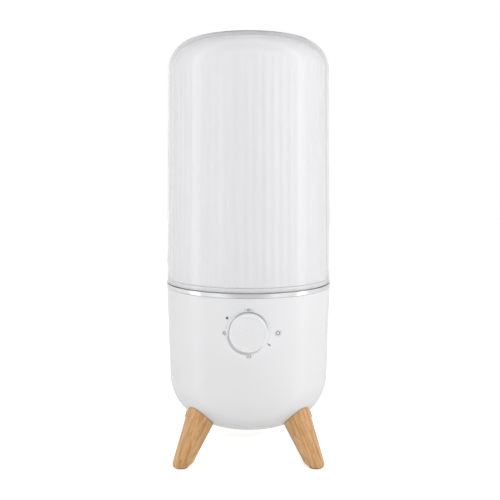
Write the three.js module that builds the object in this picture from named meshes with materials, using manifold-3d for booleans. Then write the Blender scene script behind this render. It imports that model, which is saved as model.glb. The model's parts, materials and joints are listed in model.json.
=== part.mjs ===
// Cool mist humidifier: a clear domed tank with a fluted liner, lifted off a bowl-shaped base on
// four wooden legs. Millimetres, +Z up, front towards -Y. The origin is on the floor under the middle
// of the outline, so the tank's axis stands behind it by half of what the dial sticks out.

import * as THREE from 'three';
import { mergeVertices } from 'three/addons/utils/BufferGeometryUtils.js';
import Module from 'manifold-3d';

const wasm = await Module();
wasm.setup();

// Overall sizes
const bodyRadius = 75.7; // base housing at its top rim
const baseHeight = 151.4; // floor to the base housing's top rim
const tankHeight = 222.5; // tank rim to the top of its dome
const groundClearance = 21.7; // floor to the lowest point of the bowl

// Clearances
const gap = 0.3; // between pieces that touch or fit into each other
const slideGap = 0.6; // between pieces that slide past each other
const over = 1; // how far a cutting tool reaches past what it cuts, and a joined piece into its base

// Bowl-shaped base housing
const housingWall = 2.6;
const bowlDraft = 2.0; // how much the side narrows from the rim down to the shoulder
const bowlShoulderRadius = 44.5;
const bowlCrownRadius = 183;
const deckLedgeWidth = 2.6;
const deckLedgeThickness = 2.6;

// Trim ring between base and tank
const ringHeight = 3.6;
const ringProud = 0.6; // how far the ring stands out from the housing
const ringWidth = 5.8;
const ringEdge = 0.7; // rounding of the ring's outer edges

// Tank
const tankStepIn = 0.2; // tank rim against the housing rim
const tankDraft = 2.9; // how much the tank narrows up to its shoulder
const tankShoulderRadius = 27.1;
const tankCrownRadius = 269;
const shellWall = 3.4;
const linerSpace = 0.8; // between shell and liner
const linerWall = 1.8;
const tankFloorRise = 0.8; // floor plate above the tank rim
const tankFloorThickness = 3;
const skirtDepth = 3.1; // locating skirt below the tank rim
const skirtWall = 2.6;

// Mist path
const chimneyBore = 10.6;
const chimneyWall = 1.8;
const chimneyDrop = 5; // chimney end below the tank rim
const chimneyFlangeThickness = 1.8;
const chimneyFlangeWidth = 4.6;
const mouthRadius = 20; // hole in the top of the clear shell
const linerMouthRadius = 16.5;
const collarThickness = 1.5;
const collarDepth = 2.7; // collar underside below the top of the dome
const sleeveLength = 11;
const sleeveWall = 1.3;
const nozzleRadius = 14;
const nozzleThickness = 2.2;
const nozzleStemWall = 1.3;
const nozzleStemLength = 9;
const mistHoleRadius = 4.4;
const mistHoleTilt = THREE.MathUtils.degToRad(24);

// Water basin in the top of the base
const deckThickness = 2.4;
const deckDrop = 0.2; // deck below the housing rim
const basinDepth = 39.2; // deck surface to basin floor
const basinWall = 2.4;
const towerBore = 6.6;
const towerWall = 1.9;
const towerTop = 1.6; // tower end below the deck surface
const towerSideSpace = 6.4; // tower to basin wall
const towerFlangeWidth = 2.8;
const towerFlangeThickness = 1.8;

// Fill cap and its valve, beside the chimney
const capSideSpace = 1.6;
const capWall = 1.6;
const capPlate = 1.8;
const neckWall = 2;
const neckLength = 6.1; // below the tank floor plate
const sealThickness = 1.3;
const valveHole = 4.4;
const valveTravel = 4;
const washerRadius = 5.8;
const washerThickness = 1.5;
const headRadius = 5.4;
const headThickness = 1.2;
const stemRadius = 1.9;
const stemBelowCap = 1.5; // stem end under the cap when the tank stands on the base
const cageWall = 1.3;
const cageHeight = 17;
const cagePlate = 1.5;
const springWire = 0.35; // radius
const springCoilRadius = 3.2;
const springTurns = 3;
const pinRadius = 2.4;

// Ultrasonic transducer
const transducerRadius = 10;
const transducerThickness = 1.3;
const transducerHole = 8.5;
const gasketLip = 1.4;
const gasketWall = 2.6;
const gasketHeight = 3.8;
const clampThickness = 2.5;
const clampRadius = 20;
const clampHole = 6;
const clampScrewSpacing = 16.6; // from the centre
const clampScrewRadius = 1.2;
const clampBossRadius = 3;
const clampScrewHead = 2.4;

// Float switch
const floatPostRadius = 2.3;
const floatPostHeight = 23;
const floatRadius = 9;
const floatHeight = 10;
const floatWall = 1; // between the post's bore and the magnet's groove
const floatTravel = 8;
const floatRest = 1.4; // float underside above the basin floor
const floatAngle = THREE.MathUtils.degToRad(190);
const floatSideSpace = 10; // float to basin wall
const magnetHeight = 3;
const magnetWall = 2;
const retainerRadius = 4.6;
const retainerThickness = 1.5;
const reedRadius = 1.3;
const reedLength = 13;

// Fan and air duct
const fanSide = 40;
const fanHeight = 12;
const fanBottom = 56; // floor to the fan's underside
const fanBore = 18.6;
const hubRadius = 7.4;
const hubHeight = 7;
const hubWall = 1.4;
const bladeCount = 7;
const bladeThickness = 0.9;
const bladeHeight = 7;
const bladePitch = THREE.MathUtils.degToRad(32);
const motorPlate = 1.4;
const spokeWidth = 2.4;
const motorRadius = 4.4;
const motorHeight = 4;
const rotorLift = 2; // rotor above the motor plate
const bladeTipGap = 1;
const ductWall = 1.6;
const ductFlange = 2;

// Electronics
const boardLength = 76;
const boardWidth = 42;
const boardThickness = 1.6;
const boardHeight = 50; // floor to the board's underside
const boardSetback = 9; // board centre in front of the axis
const postRadius = 2.4;
const postInset = 5; // post centre from the board's long edges
const sinkLength = 24;
const sinkWidth = 16;
const sinkHeight = 12;
const sinkFoot = 2;
const finCount = 4;
const finThickness = 1.6;
const coilRadius = 6.2;
const coilHeight = 9;
const coilBore = 2;

// Dial
const dialDrop = 27.4; // dial centre below the housing rim
const dialRadius = 16;
const dialDepth = 14;
const dialEdge = 1.1;
const dialLift = 0.8; // dial above its seat
const dialSeatMargin = 1.2;
const dialSeatDepth = 2; // seat face behind the front of the housing
const dialPadMargin = 1.8;
const dialPadThickness = 3.4;
const potRadius = 8.5;
const potDepth = 13;
const bushRadius = 4.4;
const shaftRadius = 3;
const shaftInDial = 8;
const shaftInPot = 8;
const nutRadius = 6.8;
const nutThickness = 2;
const nutSides = 6;
const dialPocketRadius = 8;
const dialPocketDepth = 3.4;

// Lights
const windowRadius = 4;
const windowFlange = 1.6;
const windowStep = 1.5;
const lightBoardLength = 16;
const lightBoardWidth = 8;
const lightBoardThickness = 1.6;
const indicatorRadius = 1.3;
const indicatorLength = 8;
const indicatorAcross = 17.8; // left of the dial centre
const indicatorAbove = 10.7; // above the dial centre

// Power inlet at the back
const inletHeight = 88;
const inletNoseRadius = 4.4;
const inletBodyRadius = 6.2;
const inletBodyDepth = 11;
const inletBore = 3;
const inletPin = 0.9;
const inletBoreDepth = 10;

// Bottom cover
const coverRadius = 36;
const coverThickness = 2.4;
const ledgeInner = 28.5;
const ledgeOuter = 41;
const ledgeThickness = 4.2;
const coverScrewCircle = 32.6;
const coverScrewRadius = 1.5;
const screwHeadRadius = 2.9;
const screwHeadHeight = 1.4;
const coverScrewCount = 4;
const ventCount = 10;
const ventWidth = 2.2;
const ventInner = 8;
const ventOuter = 26;

// Legs
const legCount = 4;
const legFirstAngle = THREE.MathUtils.degToRad(45);
const legSeatAngle = THREE.MathUtils.degToRad(45.2); // place of the leg on the bowl's shoulder
const legSplay = THREE.MathUtils.degToRad(30); // from vertical
const legTopRadius = 13.2;
const legFootRadius = 7.6;
const padThickness = 1.5;
const padInset = 1.3; // pad edge inside the foot's edge
const legScrewRadius = 2;
const legScrewDepth = 20; // into the leg
const legScrewHeadRadius = 4;
const legScrewHeadHeight = 2.4;
const legBossRadius = 6;
const legBossHeight = 5;

// Facets
const roundSegments = 32; // a multiple of 8, so that the legs meet the bowl facet to facet
const mediumSegments = 20;
const smallSegments = 16;
const tinySegments = 8;
const crownSteps = 3;
const shoulderSteps = 5;
const springTurnSteps = 10;
const springSides = 5;
const weld = 1e-4;
const facetDepth = Math.cos(Math.PI / roundSegments); // middle of a facet against its corners

// Heights that follow from the sizes above
const tankSeat = baseHeight + gap + ringHeight + gap;
const deckTop = baseHeight - deckDrop;
const basinFloor = deckTop - basinDepth;
const basinUnderside = basinFloor - deckThickness;
const dialCentre = baseHeight - dialDrop;

const bowl = {
  apex: groundClearance,
  crown: bowlCrownRadius,
  shoulder: bowlShoulderRadius,
  wall: bodyRadius - bowlDraft,
  rim: bodyRadius,
  rimHeight: baseHeight,
  up: -1,
};

const dome = {
  apex: tankHeight,
  crown: tankCrownRadius,
  shoulder: tankShoulderRadius,
  wall: bodyRadius - tankStepIn - tankDraft,
  rim: bodyRadius - tankStepIn,
  rimHeight: 0,
  up: 1,
};

// ---- Solids ----

function toSolid(geometry) {
  const bare = geometry.clone();
  for (const name of Object.keys(bare.attributes)) {
    if (name !== 'position') bare.deleteAttribute(name);
  }
  const merged = mergeVertices(bare, weld);
  const position = merged.attributes.position;
  const index = merged.index.array;
  const triangles = [];
  const [a, b, c] = [new THREE.Vector3(), new THREE.Vector3(), new THREE.Vector3()];
  let volume = 0;
  for (let i = 0; i < index.length; i += 3) {
    const [u, v, w] = [index[i], index[i + 1], index[i + 2]];
    if (u === v || v === w || w === u) continue;
    triangles.push([u, v, w]);
    a.fromBufferAttribute(position, u);
    b.fromBufferAttribute(position, v);
    c.fromBufferAttribute(position, w);
    volume += a.dot(b.cross(c));
  }
  const facingOut = volume > 0 ? triangles : triangles.map(([u, v, w]) => [u, w, v]);
  return new wasm.Manifold(new wasm.Mesh({
    numProp: 3,
    vertProperties: Float32Array.from(position.array),
    triVerts: Uint32Array.from(facingOut.flat()),
  }));
}

function toGeometry(solid) {
  const { vertProperties, triVerts } = solid.getMesh();
  const geometry = new THREE.BufferGeometry();
  geometry.setAttribute('position', new THREE.BufferAttribute(vertProperties, 3));
  geometry.setIndex(new THREE.BufferAttribute(triVerts, 1));
  geometry.computeVertexNormals();
  return geometry;
}

function combine(operation, base, others) {
  let result = toSolid(base);
  for (const other of others) result = result[operation](toSolid(other));
  return toGeometry(result);
}

const cut = (base, ...tools) => combine('subtract', base, tools);
const join = (base, ...others) => combine('add', base, others);
const common = (base, ...others) => combine('intersect', base, others);

// Revolves [radius, height] points round the Z axis. An outline off the axis closes on itself.
function revolve(points, segments = roundSegments) {
  const outline = points.map(([radius, height]) => new THREE.Vector2(radius, height));
  if (points[0][0] > 0) outline.push(outline[0].clone());
  return new THREE.LatheGeometry(outline, segments).rotateX(Math.PI / 2);
}

function disc(radius, bottom, top, segments = smallSegments) {
  return revolve([[0, bottom], [radius, bottom], [radius, top], [0, top]], segments);
}

function tube(inner, outer, bottom, top, segments = smallSegments) {
  return revolve([[inner, bottom], [outer, bottom], [outer, top], [inner, top]], segments);
}

function block(length, width, bottom, top) {
  return new THREE.BoxGeometry(length, width, top - bottom).translate(0, 0, (top + bottom) / 2);
}

// ---- Forms shared by the dome and the bowl: wall, rounded shoulder and shallow crown ----

function shoulderCentre(form) {
  const radius = form.wall - form.shoulder;
  const rise = Math.sqrt((form.crown - form.shoulder) ** 2 - radius ** 2);
  return { radius, height: form.apex - form.up * (form.crown - rise) };
}

// Surface points from the axis out to the rim, moved inwards by inset.
function wholeOutline(form, inset) {
  const centre = shoulderCentre(form);
  const crown = form.crown - inset;
  const shoulder = form.shoulder - inset;
  const crownCentre = form.apex - form.up * form.crown;
  const tangent = Math.asin(centre.radius / (form.crown - form.shoulder));
  const points = [];
  for (let i = 0; i < crownSteps; i++) {
    const angle = THREE.MathUtils.lerp(0, tangent, i / crownSteps);
    points.push([crown * Math.sin(angle), crownCentre + form.up * crown * Math.cos(angle)]);
  }
  for (let i = 0; i <= shoulderSteps; i++) {
    const angle = THREE.MathUtils.lerp(tangent, Math.PI / 2, i / shoulderSteps);
    const height = centre.height + form.up * shoulder * Math.cos(angle);
    points.push([centre.radius + shoulder * Math.sin(angle), height]);
  }
  points.push([form.rim - inset, form.rimHeight]);
  return points;
}

// The same surface, from startRadius outwards.
function formOutline(form, inset, startRadius) {
  const points = wholeOutline(form, inset);
  if (startRadius === 0) return points;
  const next = points.findIndex(([radius]) => radius > startRadius);
  const [low, high] = [points[next - 1], points[next]];
  const height = THREE.MathUtils.mapLinear(startRadius, low[0], high[0], low[1], high[1]);
  return [[startRadius, height], ...points.slice(next)];
}

function formHeight(form, inset, radius) {
  return formOutline(form, inset, radius)[0][1];
}

// Radius of the straight wall at a height between the shoulder and the rim.
function wallRadius(form, height) {
  const start = shoulderCentre(form).height;
  return THREE.MathUtils.mapLinear(height, start, form.rimHeight, form.wall, form.rim);
}

function shellOf(form, inset, wall, startRadius) {
  const outer = formOutline(form, inset, startRadius);
  const inner = formOutline(form, inset + wall, startRadius).reverse();
  return [...outer, ...inner];
}

// ---- Scene helpers ----

function finish(color, roughness, metalness = 0) {
  return new THREE.MeshStandardMaterial({ color, roughness, metalness });
}

const finishes = {
  whitePlastic: () => finish(0xeeeeef, 0.28),
  clearPlastic: () => finish(0xe4e8ec, 0.08),
  linerPlastic: () => finish(0xf2f3f4, 0.35),
  chrome: () => finish(0xd9dadc, 0.12, 1),
  wood: () => finish(0xd2a36e, 0.5),
  rubber: () => finish(0x9a9c9e, 0.8),
  silicone: () => finish(0xdfe3e4, 0.6),
  steel: () => finish(0xb4b7ba, 0.35, 1),
  aluminium: () => finish(0xc3c6c9, 0.4, 1),
  ceramic: () => finish(0xe9e4d6, 0.5),
  board: () => finish(0x2c6b45, 0.55),
  blackPlastic: () => finish(0x26282a, 0.45),
  foam: () => finish(0xf0efe9, 0.85),
  magnet: () => finish(0x55585c, 0.5, 0.6),
  lens: () => finish(0xf4f4f0, 0.2),
  darkLens: () => finish(0x2e3136, 0.2),
};

function addPart(parent, name, geometry, material) {
  const mesh = new THREE.Mesh(toGeometry(toSolid(geometry)), material);
  mesh.name = name;
  parent.add(mesh);
  return mesh;
}

function addGroup(parent, x = 0, y = 0, z = 0) {
  const group = new THREE.Group();
  group.position.set(x, y, z);
  parent.add(group);
  return group;
}

// A round piece turned so that its own +Z points out of the front of the body.
function addFrontGroup(parent, x, y, z) {
  const group = addGroup(parent, x, y, z);
  group.rotation.x = Math.PI / 2;
  return group;
}

// A tool for a hole along Y through the front or back wall.
function crossHole(radius, from, to, x, z) {
  return disc(radius, from, to).rotateX(-Math.PI / 2).translate(x, 0, z);
}

const dialSeat = wallRadius(bowl, dialCentre) - dialSeatDepth;
const frontReach = dialSeat + dialLift + dialDepth;
const backReach = bodyRadius + ringProud;

const humidifier = new THREE.Group();
const machine = addGroup(humidifier, 0, (frontReach - backReach) / 2, 0);
const base = addGroup(machine);
const tank = addGroup(machine, 0, 0, tankSeat);

// ---- Where the pieces of the base stand ----

const dialPadBack = dialSeat - dialPadThickness;
const potFront = dialPadBack - gap;
const basinRadius = potFront - potDepth - slideGap - basinWall;
const chimneyRadius = chimneyBore + chimneyWall;
const capRadius = (basinRadius - chimneyRadius - 2 * capSideSpace) / 2;
const capAcross = basinRadius - capSideSpace - capRadius;
const towerRadius = towerBore + towerWall;
const towerBack = basinRadius - towerSideSpace - towerRadius;
const floatCircle = basinRadius - floatSideSpace - floatRadius;
const floatX = floatCircle * Math.cos(floatAngle);
const floatY = floatCircle * Math.sin(floatAngle);
const windowForward = (basinRadius + basinWall + wallRadius(bowl, baseHeight) - housingWall) / 2;
const coverTop = formHeight(bowl, 0, coverRadius) + coverThickness;
const ledgeBottom = coverTop + gap;
const ledgeTop = ledgeBottom + ledgeThickness;
const postCircle = (ledgeInner + ledgeOuter) / 2;
const boardPosts = [-1, 1].flatMap((side) => [-1, 1].map((end) => {
  const y = end * (boardWidth / 2 - postInset) - boardSetback;
  return { x: side * Math.sqrt(postCircle ** 2 - y ** 2), y };
}));

// The leg frame: X runs outwards from the axis through the leg, Z is up.
const bowlShoulder = shoulderCentre(bowl);
const legSeat = {
  x: bowlShoulder.radius + bowlShoulderRadius * Math.sin(legSeatAngle),
  z: bowlShoulder.height - bowlShoulderRadius * Math.cos(legSeatAngle),
};
const legAngles = Array.from({ length: legCount }, (_, i) => {
  return legFirstAngle + (i * 2 * Math.PI) / legCount;
});

// Places geometry made along +Z onto the leg's axis: its origin at the seat, +Z up into the body.
function alongLeg(geometry) {
  return geometry.rotateY(-legSplay).translate(legSeat.x, 0, legSeat.z);
}

const legWallDepth = housingWall / Math.cos(legSeatAngle - legSplay);
const legBossTop = legWallDepth + legBossHeight;

// ---- Base ----

function makeHousing() {
  const inner = (height) => wallRadius(bowl, height) - housingWall;
  const ledgeHigh = deckTop - deckThickness - gap;
  const ledgeLow = ledgeHigh - deckLedgeThickness;
  const outline = shellOf(bowl, 0, housingWall, coverRadius + gap);
  const rimIndex = outline.findIndex(([, height]) => height === baseHeight) + 1;
  outline.splice(rimIndex + 1, 0,
    [inner(ledgeHigh), ledgeHigh],
    [inner(ledgeHigh) - deckLedgeWidth, ledgeHigh],
    [inner(ledgeLow) - deckLedgeWidth, ledgeLow],
    [inner(ledgeLow - deckLedgeWidth), ledgeLow - deckLedgeWidth]);
  const padRadius = dialRadius + dialSeatMargin + dialPadMargin;
  const seatRadius = dialRadius + dialSeatMargin;
  const outside = bodyRadius + over;
  const inside = revolve([...formOutline(bowl, gap, 0), [0, baseHeight]]);
  const pad = common(crossHole(padRadius, -outside, -dialPadBack, 0, dialCentre), inside);
  const ledge = common(tube(ledgeInner, ledgeOuter, ledgeBottom, ledgeTop, roundSegments), inside);
  const additions = [pad, ledge];
  for (const { x, y } of boardPosts) {
    additions.push(disc(postRadius, ledgeTop - over, boardHeight - gap, tinySegments).translate(x, y, 0));
  }
  const cuts = [
    crossHole(seatRadius, -outside, -dialSeat, 0, dialCentre),
    crossHole(bushRadius + gap, -bodyRadius, over - dialPadBack, 0, dialCentre),
    crossHole(indicatorRadius + gap, -outside, indicatorLength - dialPadBack,
      -indicatorAcross, dialCentre + indicatorAbove),
    crossHole(inletNoseRadius + gap, inletBodyFace() - over, outside, 0, inletHeight),
  ];
  for (const angle of legAngles) {
    const boss = common(alongLeg(disc(legBossRadius, 0, legBossTop, tinySegments)), inside);
    const hole = alongLeg(disc(legScrewRadius + gap, -legWallDepth, legBossTop + over, tinySegments));
    additions.push(boss.rotateZ(angle));
    cuts.push(hole.rotateZ(angle));
  }
  for (let i = 0; i < coverScrewCount; i++) {
    const angle = (i * 2 * Math.PI) / coverScrewCount;
    const hole = disc(coverScrewRadius + gap, ledgeBottom - over, ledgeTop + over, tinySegments);
    cuts.push(hole.translate(coverScrewCircle, 0, 0).rotateZ(angle));
  }
  return cut(join(revolve(outline), ...additions), ...cuts);
}

function inletBodyFace() {
  const inner = (wallRadius(bowl, inletHeight - inletBodyRadius) - housingWall) * facetDepth;
  return Math.sqrt(inner ** 2 - inletBodyRadius ** 2) - gap;
}

function makeRing() {
  const outer = bodyRadius + ringProud;
  const bottom = baseHeight + gap;
  const top = bottom + ringHeight;
  return revolve([
    [outer - ringWidth, bottom],
    [outer - ringEdge, bottom],
    [outer, bottom + ringEdge],
    [outer, top - ringEdge],
    [outer - ringEdge, top],
    [outer - ringWidth, top],
  ]);
}

function makeBasin() {
  const rim = wallRadius(bowl, deckTop) - housingWall - slideGap;
  const under = deckTop - deckThickness;
  const body = revolve([
    [0, basinFloor],
    [basinRadius, basinFloor],
    [basinRadius, deckTop],
    [rim, deckTop],
    [rim, under],
    [basinRadius + basinWall, under],
    [basinRadius + basinWall, basinUnderside],
    [0, basinUnderside],
  ]);
  const root = basinFloor - deckThickness / 2;
  const pinTop = tankSeat + capUnderside() - stemBelowCap - gap;
  const pin = disc(pinRadius, root, pinTop, tinySegments).translate(capAcross, 0, 0);
  const post = disc(floatPostRadius, root, basinFloor + floatPostHeight, tinySegments);
  const additions = [pin, post.translate(floatX, floatY, 0)];
  const clampTop = basinUnderside - gap - gasketHeight - gap;
  const cuts = [
    disc(transducerHole, basinUnderside - over, basinFloor + over),
    disc(towerBore, basinUnderside - over, basinFloor + over).translate(0, towerBack, 0),
    disc(windowRadius + gap, under - over, deckTop + over, tinySegments).translate(0, -windowForward, 0),
  ];
  for (const side of [-1, 1]) {
    const x = side * clampScrewSpacing;
    additions.push(disc(clampBossRadius, clampTop + gap, root, tinySegments).translate(x, 0, 0));
    cuts.push(disc(clampScrewRadius + gap, clampTop, root, tinySegments).translate(x, 0, 0));
  }
  return cut(join(body, ...additions), ...cuts);
}

function addTower() {
  const group = addGroup(base, 0, towerBack, 0);
  const bottom = basinFloor + gap;
  addPart(group, 'air_tower', revolve([
    [towerBore, bottom],
    [towerRadius + towerFlangeWidth, bottom],
    [towerRadius + towerFlangeWidth, bottom + towerFlangeThickness],
    [towerRadius, bottom + towerFlangeThickness],
    [towerRadius, deckTop - towerTop],
    [towerBore, deckTop - towerTop],
  ], smallSegments), finishes.whitePlastic());
}

function addTransducer() {
  const top = basinUnderside - gap;
  const bottom = top - gasketHeight;
  const inner = transducerRadius + gap;
  addPart(base, 'transducer_gasket', revolve([
    [transducerHole, top - gasketLip],
    [inner, top - gasketLip],
    [inner, bottom],
    [inner + gasketWall, bottom],
    [inner + gasketWall, top],
    [transducerHole, top],
  ], smallSegments), finishes.silicone());
  const discTop = top - gasketLip - gap;
  addPart(base, 'transducer_disc', disc(transducerRadius, discTop - transducerThickness, discTop),
    finishes.ceramic());
  const clampTop = bottom - gap;
  const holes = [-1, 1].map((side) => {
    return disc(clampScrewRadius + gap, clampTop - clampThickness - over, clampTop + over, tinySegments)
      .translate(side * clampScrewSpacing, 0, 0);
  });
  const ductRoom = disc(towerBore + ductWall + slideGap, clampTop - clampThickness - over, clampTop + over)
    .translate(0, towerBack, 0);
  addPart(base, 'transducer_clamp',
    cut(tube(clampHole, clampRadius, clampTop - clampThickness, clampTop), ductRoom, ...holes),
    finishes.aluminium());
  [-1, 1].forEach((side, i) => {
    const screwBase = clampTop - clampThickness - gap;
    const screw = revolve([
      [0, screwBase - screwHeadHeight],
      [clampScrewHead, screwBase - screwHeadHeight],
      [clampScrewHead, screwBase],
      [clampScrewRadius, screwBase],
      [clampScrewRadius, basinUnderside - gap],
      [0, basinUnderside - gap],
    ], tinySegments);
    const group = addGroup(base, side * clampScrewSpacing);
    addPart(group, `clamp_screw_${i + 1}`, screw, finishes.steel());
  });
}

function addFloatSwitch() {
  const group = addGroup(base, floatX, floatY, 0);
  const bottom = basinFloor + floatRest;
  const bore = floatPostRadius + slideGap;
  const grooveInner = bore + floatWall;
  const grooveOuter = grooveInner + gap + magnetWall + gap;
  addPart(group, 'float', revolve([
    [bore, bottom],
    [grooveInner, bottom],
    [grooveInner, bottom + magnetHeight + gap],
    [grooveOuter, bottom + magnetHeight + gap],
    [grooveOuter, bottom],
    [floatRadius, bottom],
    [floatRadius, bottom + floatHeight],
    [bore, bottom + floatHeight],
  ], smallSegments), finishes.foam());
  addPart(group, 'float_magnet',
    tube(grooveInner + gap, grooveOuter - gap, bottom, bottom + magnetHeight), finishes.magnet());
  const stop = bottom + floatHeight + floatTravel + gap;
  addPart(group, 'float_retainer',
    tube(floatPostRadius + gap, retainerRadius, stop, stop + retainerThickness, tinySegments),
    finishes.whitePlastic());
  const reed = disc(reedRadius, -reedLength / 2, reedLength / 2, tinySegments).rotateX(Math.PI / 2);
  const reedMesh = addPart(group, 'reed_switch', reed, finishes.lens());
  reedMesh.position.z = basinUnderside - gap - reedRadius;
}

function addFan() {
  const group = addGroup(base, 0, towerBack, fanBottom);
  const frame = cut(block(fanSide, fanSide, 0, fanHeight), disc(fanBore, -over, fanHeight + over));
  const spokes = [0, 1].map((i) => {
    return block((fanBore + over) * 2, spokeWidth, 0, motorPlate).rotateZ(Math.PI / 4 + (i * Math.PI) / 2);
  });
  const seat = disc(hubRadius, 0, motorPlate);
  addPart(group, 'fan_housing', join(frame, ...spokes, seat), finishes.blackPlastic());
  const motorBottom = motorPlate + gap;
  addPart(group, 'fan_motor', disc(motorRadius, motorBottom, motorBottom + motorHeight),
    finishes.steel());
  const hubBottom = motorPlate + rotorLift;
  const hubTop = hubBottom + hubHeight;
  const hub = revolve([
    [0, hubTop],
    [hubRadius, hubTop],
    [hubRadius, hubBottom],
    [hubRadius - hubWall, hubBottom],
    [hubRadius - hubWall, hubTop - hubWall],
    [0, hubTop - hubWall],
  ], smallSegments);
  const bladeRoot = hubRadius - hubWall / 2;
  const reach = fanBore - bladeTipGap - bladeRoot;
  const blades = Array.from({ length: bladeCount }, (_, i) => {
    return new THREE.BoxGeometry(reach, bladeThickness, bladeHeight)
      .rotateX(bladePitch)
      .translate(bladeRoot + reach / 2, 0, hubBottom + hubHeight / 2)
      .rotateZ((i * 2 * Math.PI) / bladeCount);
  });
  addPart(group, 'fan_rotor', join(hub, ...blades), finishes.blackPlastic());
  const ductBottom = fanHeight + gap;
  const ductTop = basinUnderside - gap - fanBottom;
  const wide = fanBore + ductWall;
  const narrow = towerBore + ductWall;
  const neck = ductTop - (ductTop - ductBottom) / 3;
  addPart(group, 'air_duct', revolve([
    [wide - ductWall, ductBottom],
    [wide, ductBottom],
    [wide, ductBottom + ductFlange],
    [narrow, neck],
    [narrow, ductTop],
    [narrow - ductWall, ductTop],
    [narrow - ductWall, neck],
    [wide - ductWall, ductBottom + ductFlange],
  ], smallSegments), finishes.whitePlastic());
}

function addElectronics() {
  const group = addGroup(base, 0, -boardSetback, boardHeight);
  addPart(group, 'driver_board', block(boardLength, boardWidth, 0, boardThickness), finishes.board());
  const sinkBottom = boardThickness + gap;
  const foot = block(sinkLength, sinkWidth, sinkBottom, sinkBottom + sinkFoot);
  const pitch = (sinkWidth - finThickness) / (finCount - 1);
  const fins = Array.from({ length: finCount }, (_, i) => {
    return block(sinkLength, finThickness, sinkBottom + sinkFoot / 2, sinkBottom + sinkHeight)
      .translate(0, -(sinkWidth - finThickness) / 2 + i * pitch, 0);
  });
  const sink = addPart(group, 'driver_heatsink', join(foot, ...fins), finishes.aluminium());
  sink.position.x = -boardLength / 4;
  const coil = tube(coilBore, coilRadius, sinkBottom, sinkBottom + coilHeight);
  const coilMesh = addPart(group, 'driver_coil', coil, finishes.blackPlastic());
  coilMesh.position.x = boardLength / 4;
}

function addDial() {
  const group = addFrontGroup(base, 0, -dialSeat, dialCentre);
  const pocketFloor = dialLift + dialPocketDepth;
  const holeEnd = pocketFloor + shaftInDial;
  const face = dialLift + dialDepth;
  const bore = shaftRadius + gap;
  addPart(group, 'knob', revolve([
    [0, holeEnd],
    [bore, holeEnd],
    [bore, pocketFloor],
    [dialPocketRadius, pocketFloor],
    [dialPocketRadius, dialLift],
    [dialRadius, dialLift],
    [dialRadius, face - dialEdge],
    [dialRadius - dialEdge, face],
    [0, face],
  ], mediumSegments), finishes.whitePlastic());
  const front = potFront - dialSeat;
  const shaftEnd = front - shaftInPot;
  addPart(group, 'dial_shaft', disc(shaftRadius, shaftEnd + gap, holeEnd - gap), finishes.steel());
  const bushTop = gap + nutThickness + gap;
  addPart(group, 'potentiometer_body', revolve([
    [0, front - potDepth],
    [potRadius, front - potDepth],
    [potRadius, front],
    [bushRadius, front],
    [bushRadius, bushTop],
    [bore, bushTop],
    [bore, shaftEnd],
    [0, shaftEnd],
  ], smallSegments), finishes.steel());
  const nut = cut(disc(nutRadius, gap, gap + nutThickness, nutSides),
    disc(bushRadius + gap, 0, bushTop, smallSegments));
  addPart(group, 'potentiometer_nut', nut, finishes.steel());
}

function addLights() {
  const under = deckTop - deckThickness - gap;
  const window = addGroup(base, 0, -windowForward, 0);
  addPart(window, 'light_window', revolve([
    [0, under - windowStep],
    [windowRadius + windowFlange, under - windowStep],
    [windowRadius + windowFlange, under],
    [windowRadius, under],
    [windowRadius, deckTop],
    [0, deckTop],
  ], tinySegments), finishes.lens());
  const boardTop = under - windowStep - gap;
  addPart(window, 'light_board',
    block(lightBoardLength, lightBoardWidth, boardTop - lightBoardThickness, boardTop),
    finishes.board());
  const height = dialCentre + indicatorAbove;
  const front = Math.sqrt((wallRadius(bowl, height) * facetDepth) ** 2 - indicatorAcross ** 2);
  const indicator = addFrontGroup(base, -indicatorAcross, -front, height);
  addPart(indicator, 'indicator_lens', disc(indicatorRadius, -indicatorLength, 0, tinySegments),
    finishes.darkLens());
}

function addInlet() {
  const group = addGroup(base, 0, inletBodyFace(), inletHeight);
  group.rotation.x = -Math.PI / 2;
  const nose = wallRadius(bowl, inletHeight) - inletBodyFace();
  addPart(group, 'power_inlet', revolve([
    [0, -inletBodyDepth],
    [inletBodyRadius, -inletBodyDepth],
    [inletBodyRadius, 0],
    [inletNoseRadius, 0],
    [inletNoseRadius, nose],
    [inletBore, nose],
    [inletBore, nose - inletBoreDepth],
    [inletPin, nose - inletBoreDepth],
    [inletPin, nose - inletPin],
    [0, nose - inletPin],
  ], smallSegments), finishes.blackPlastic());
}

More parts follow.
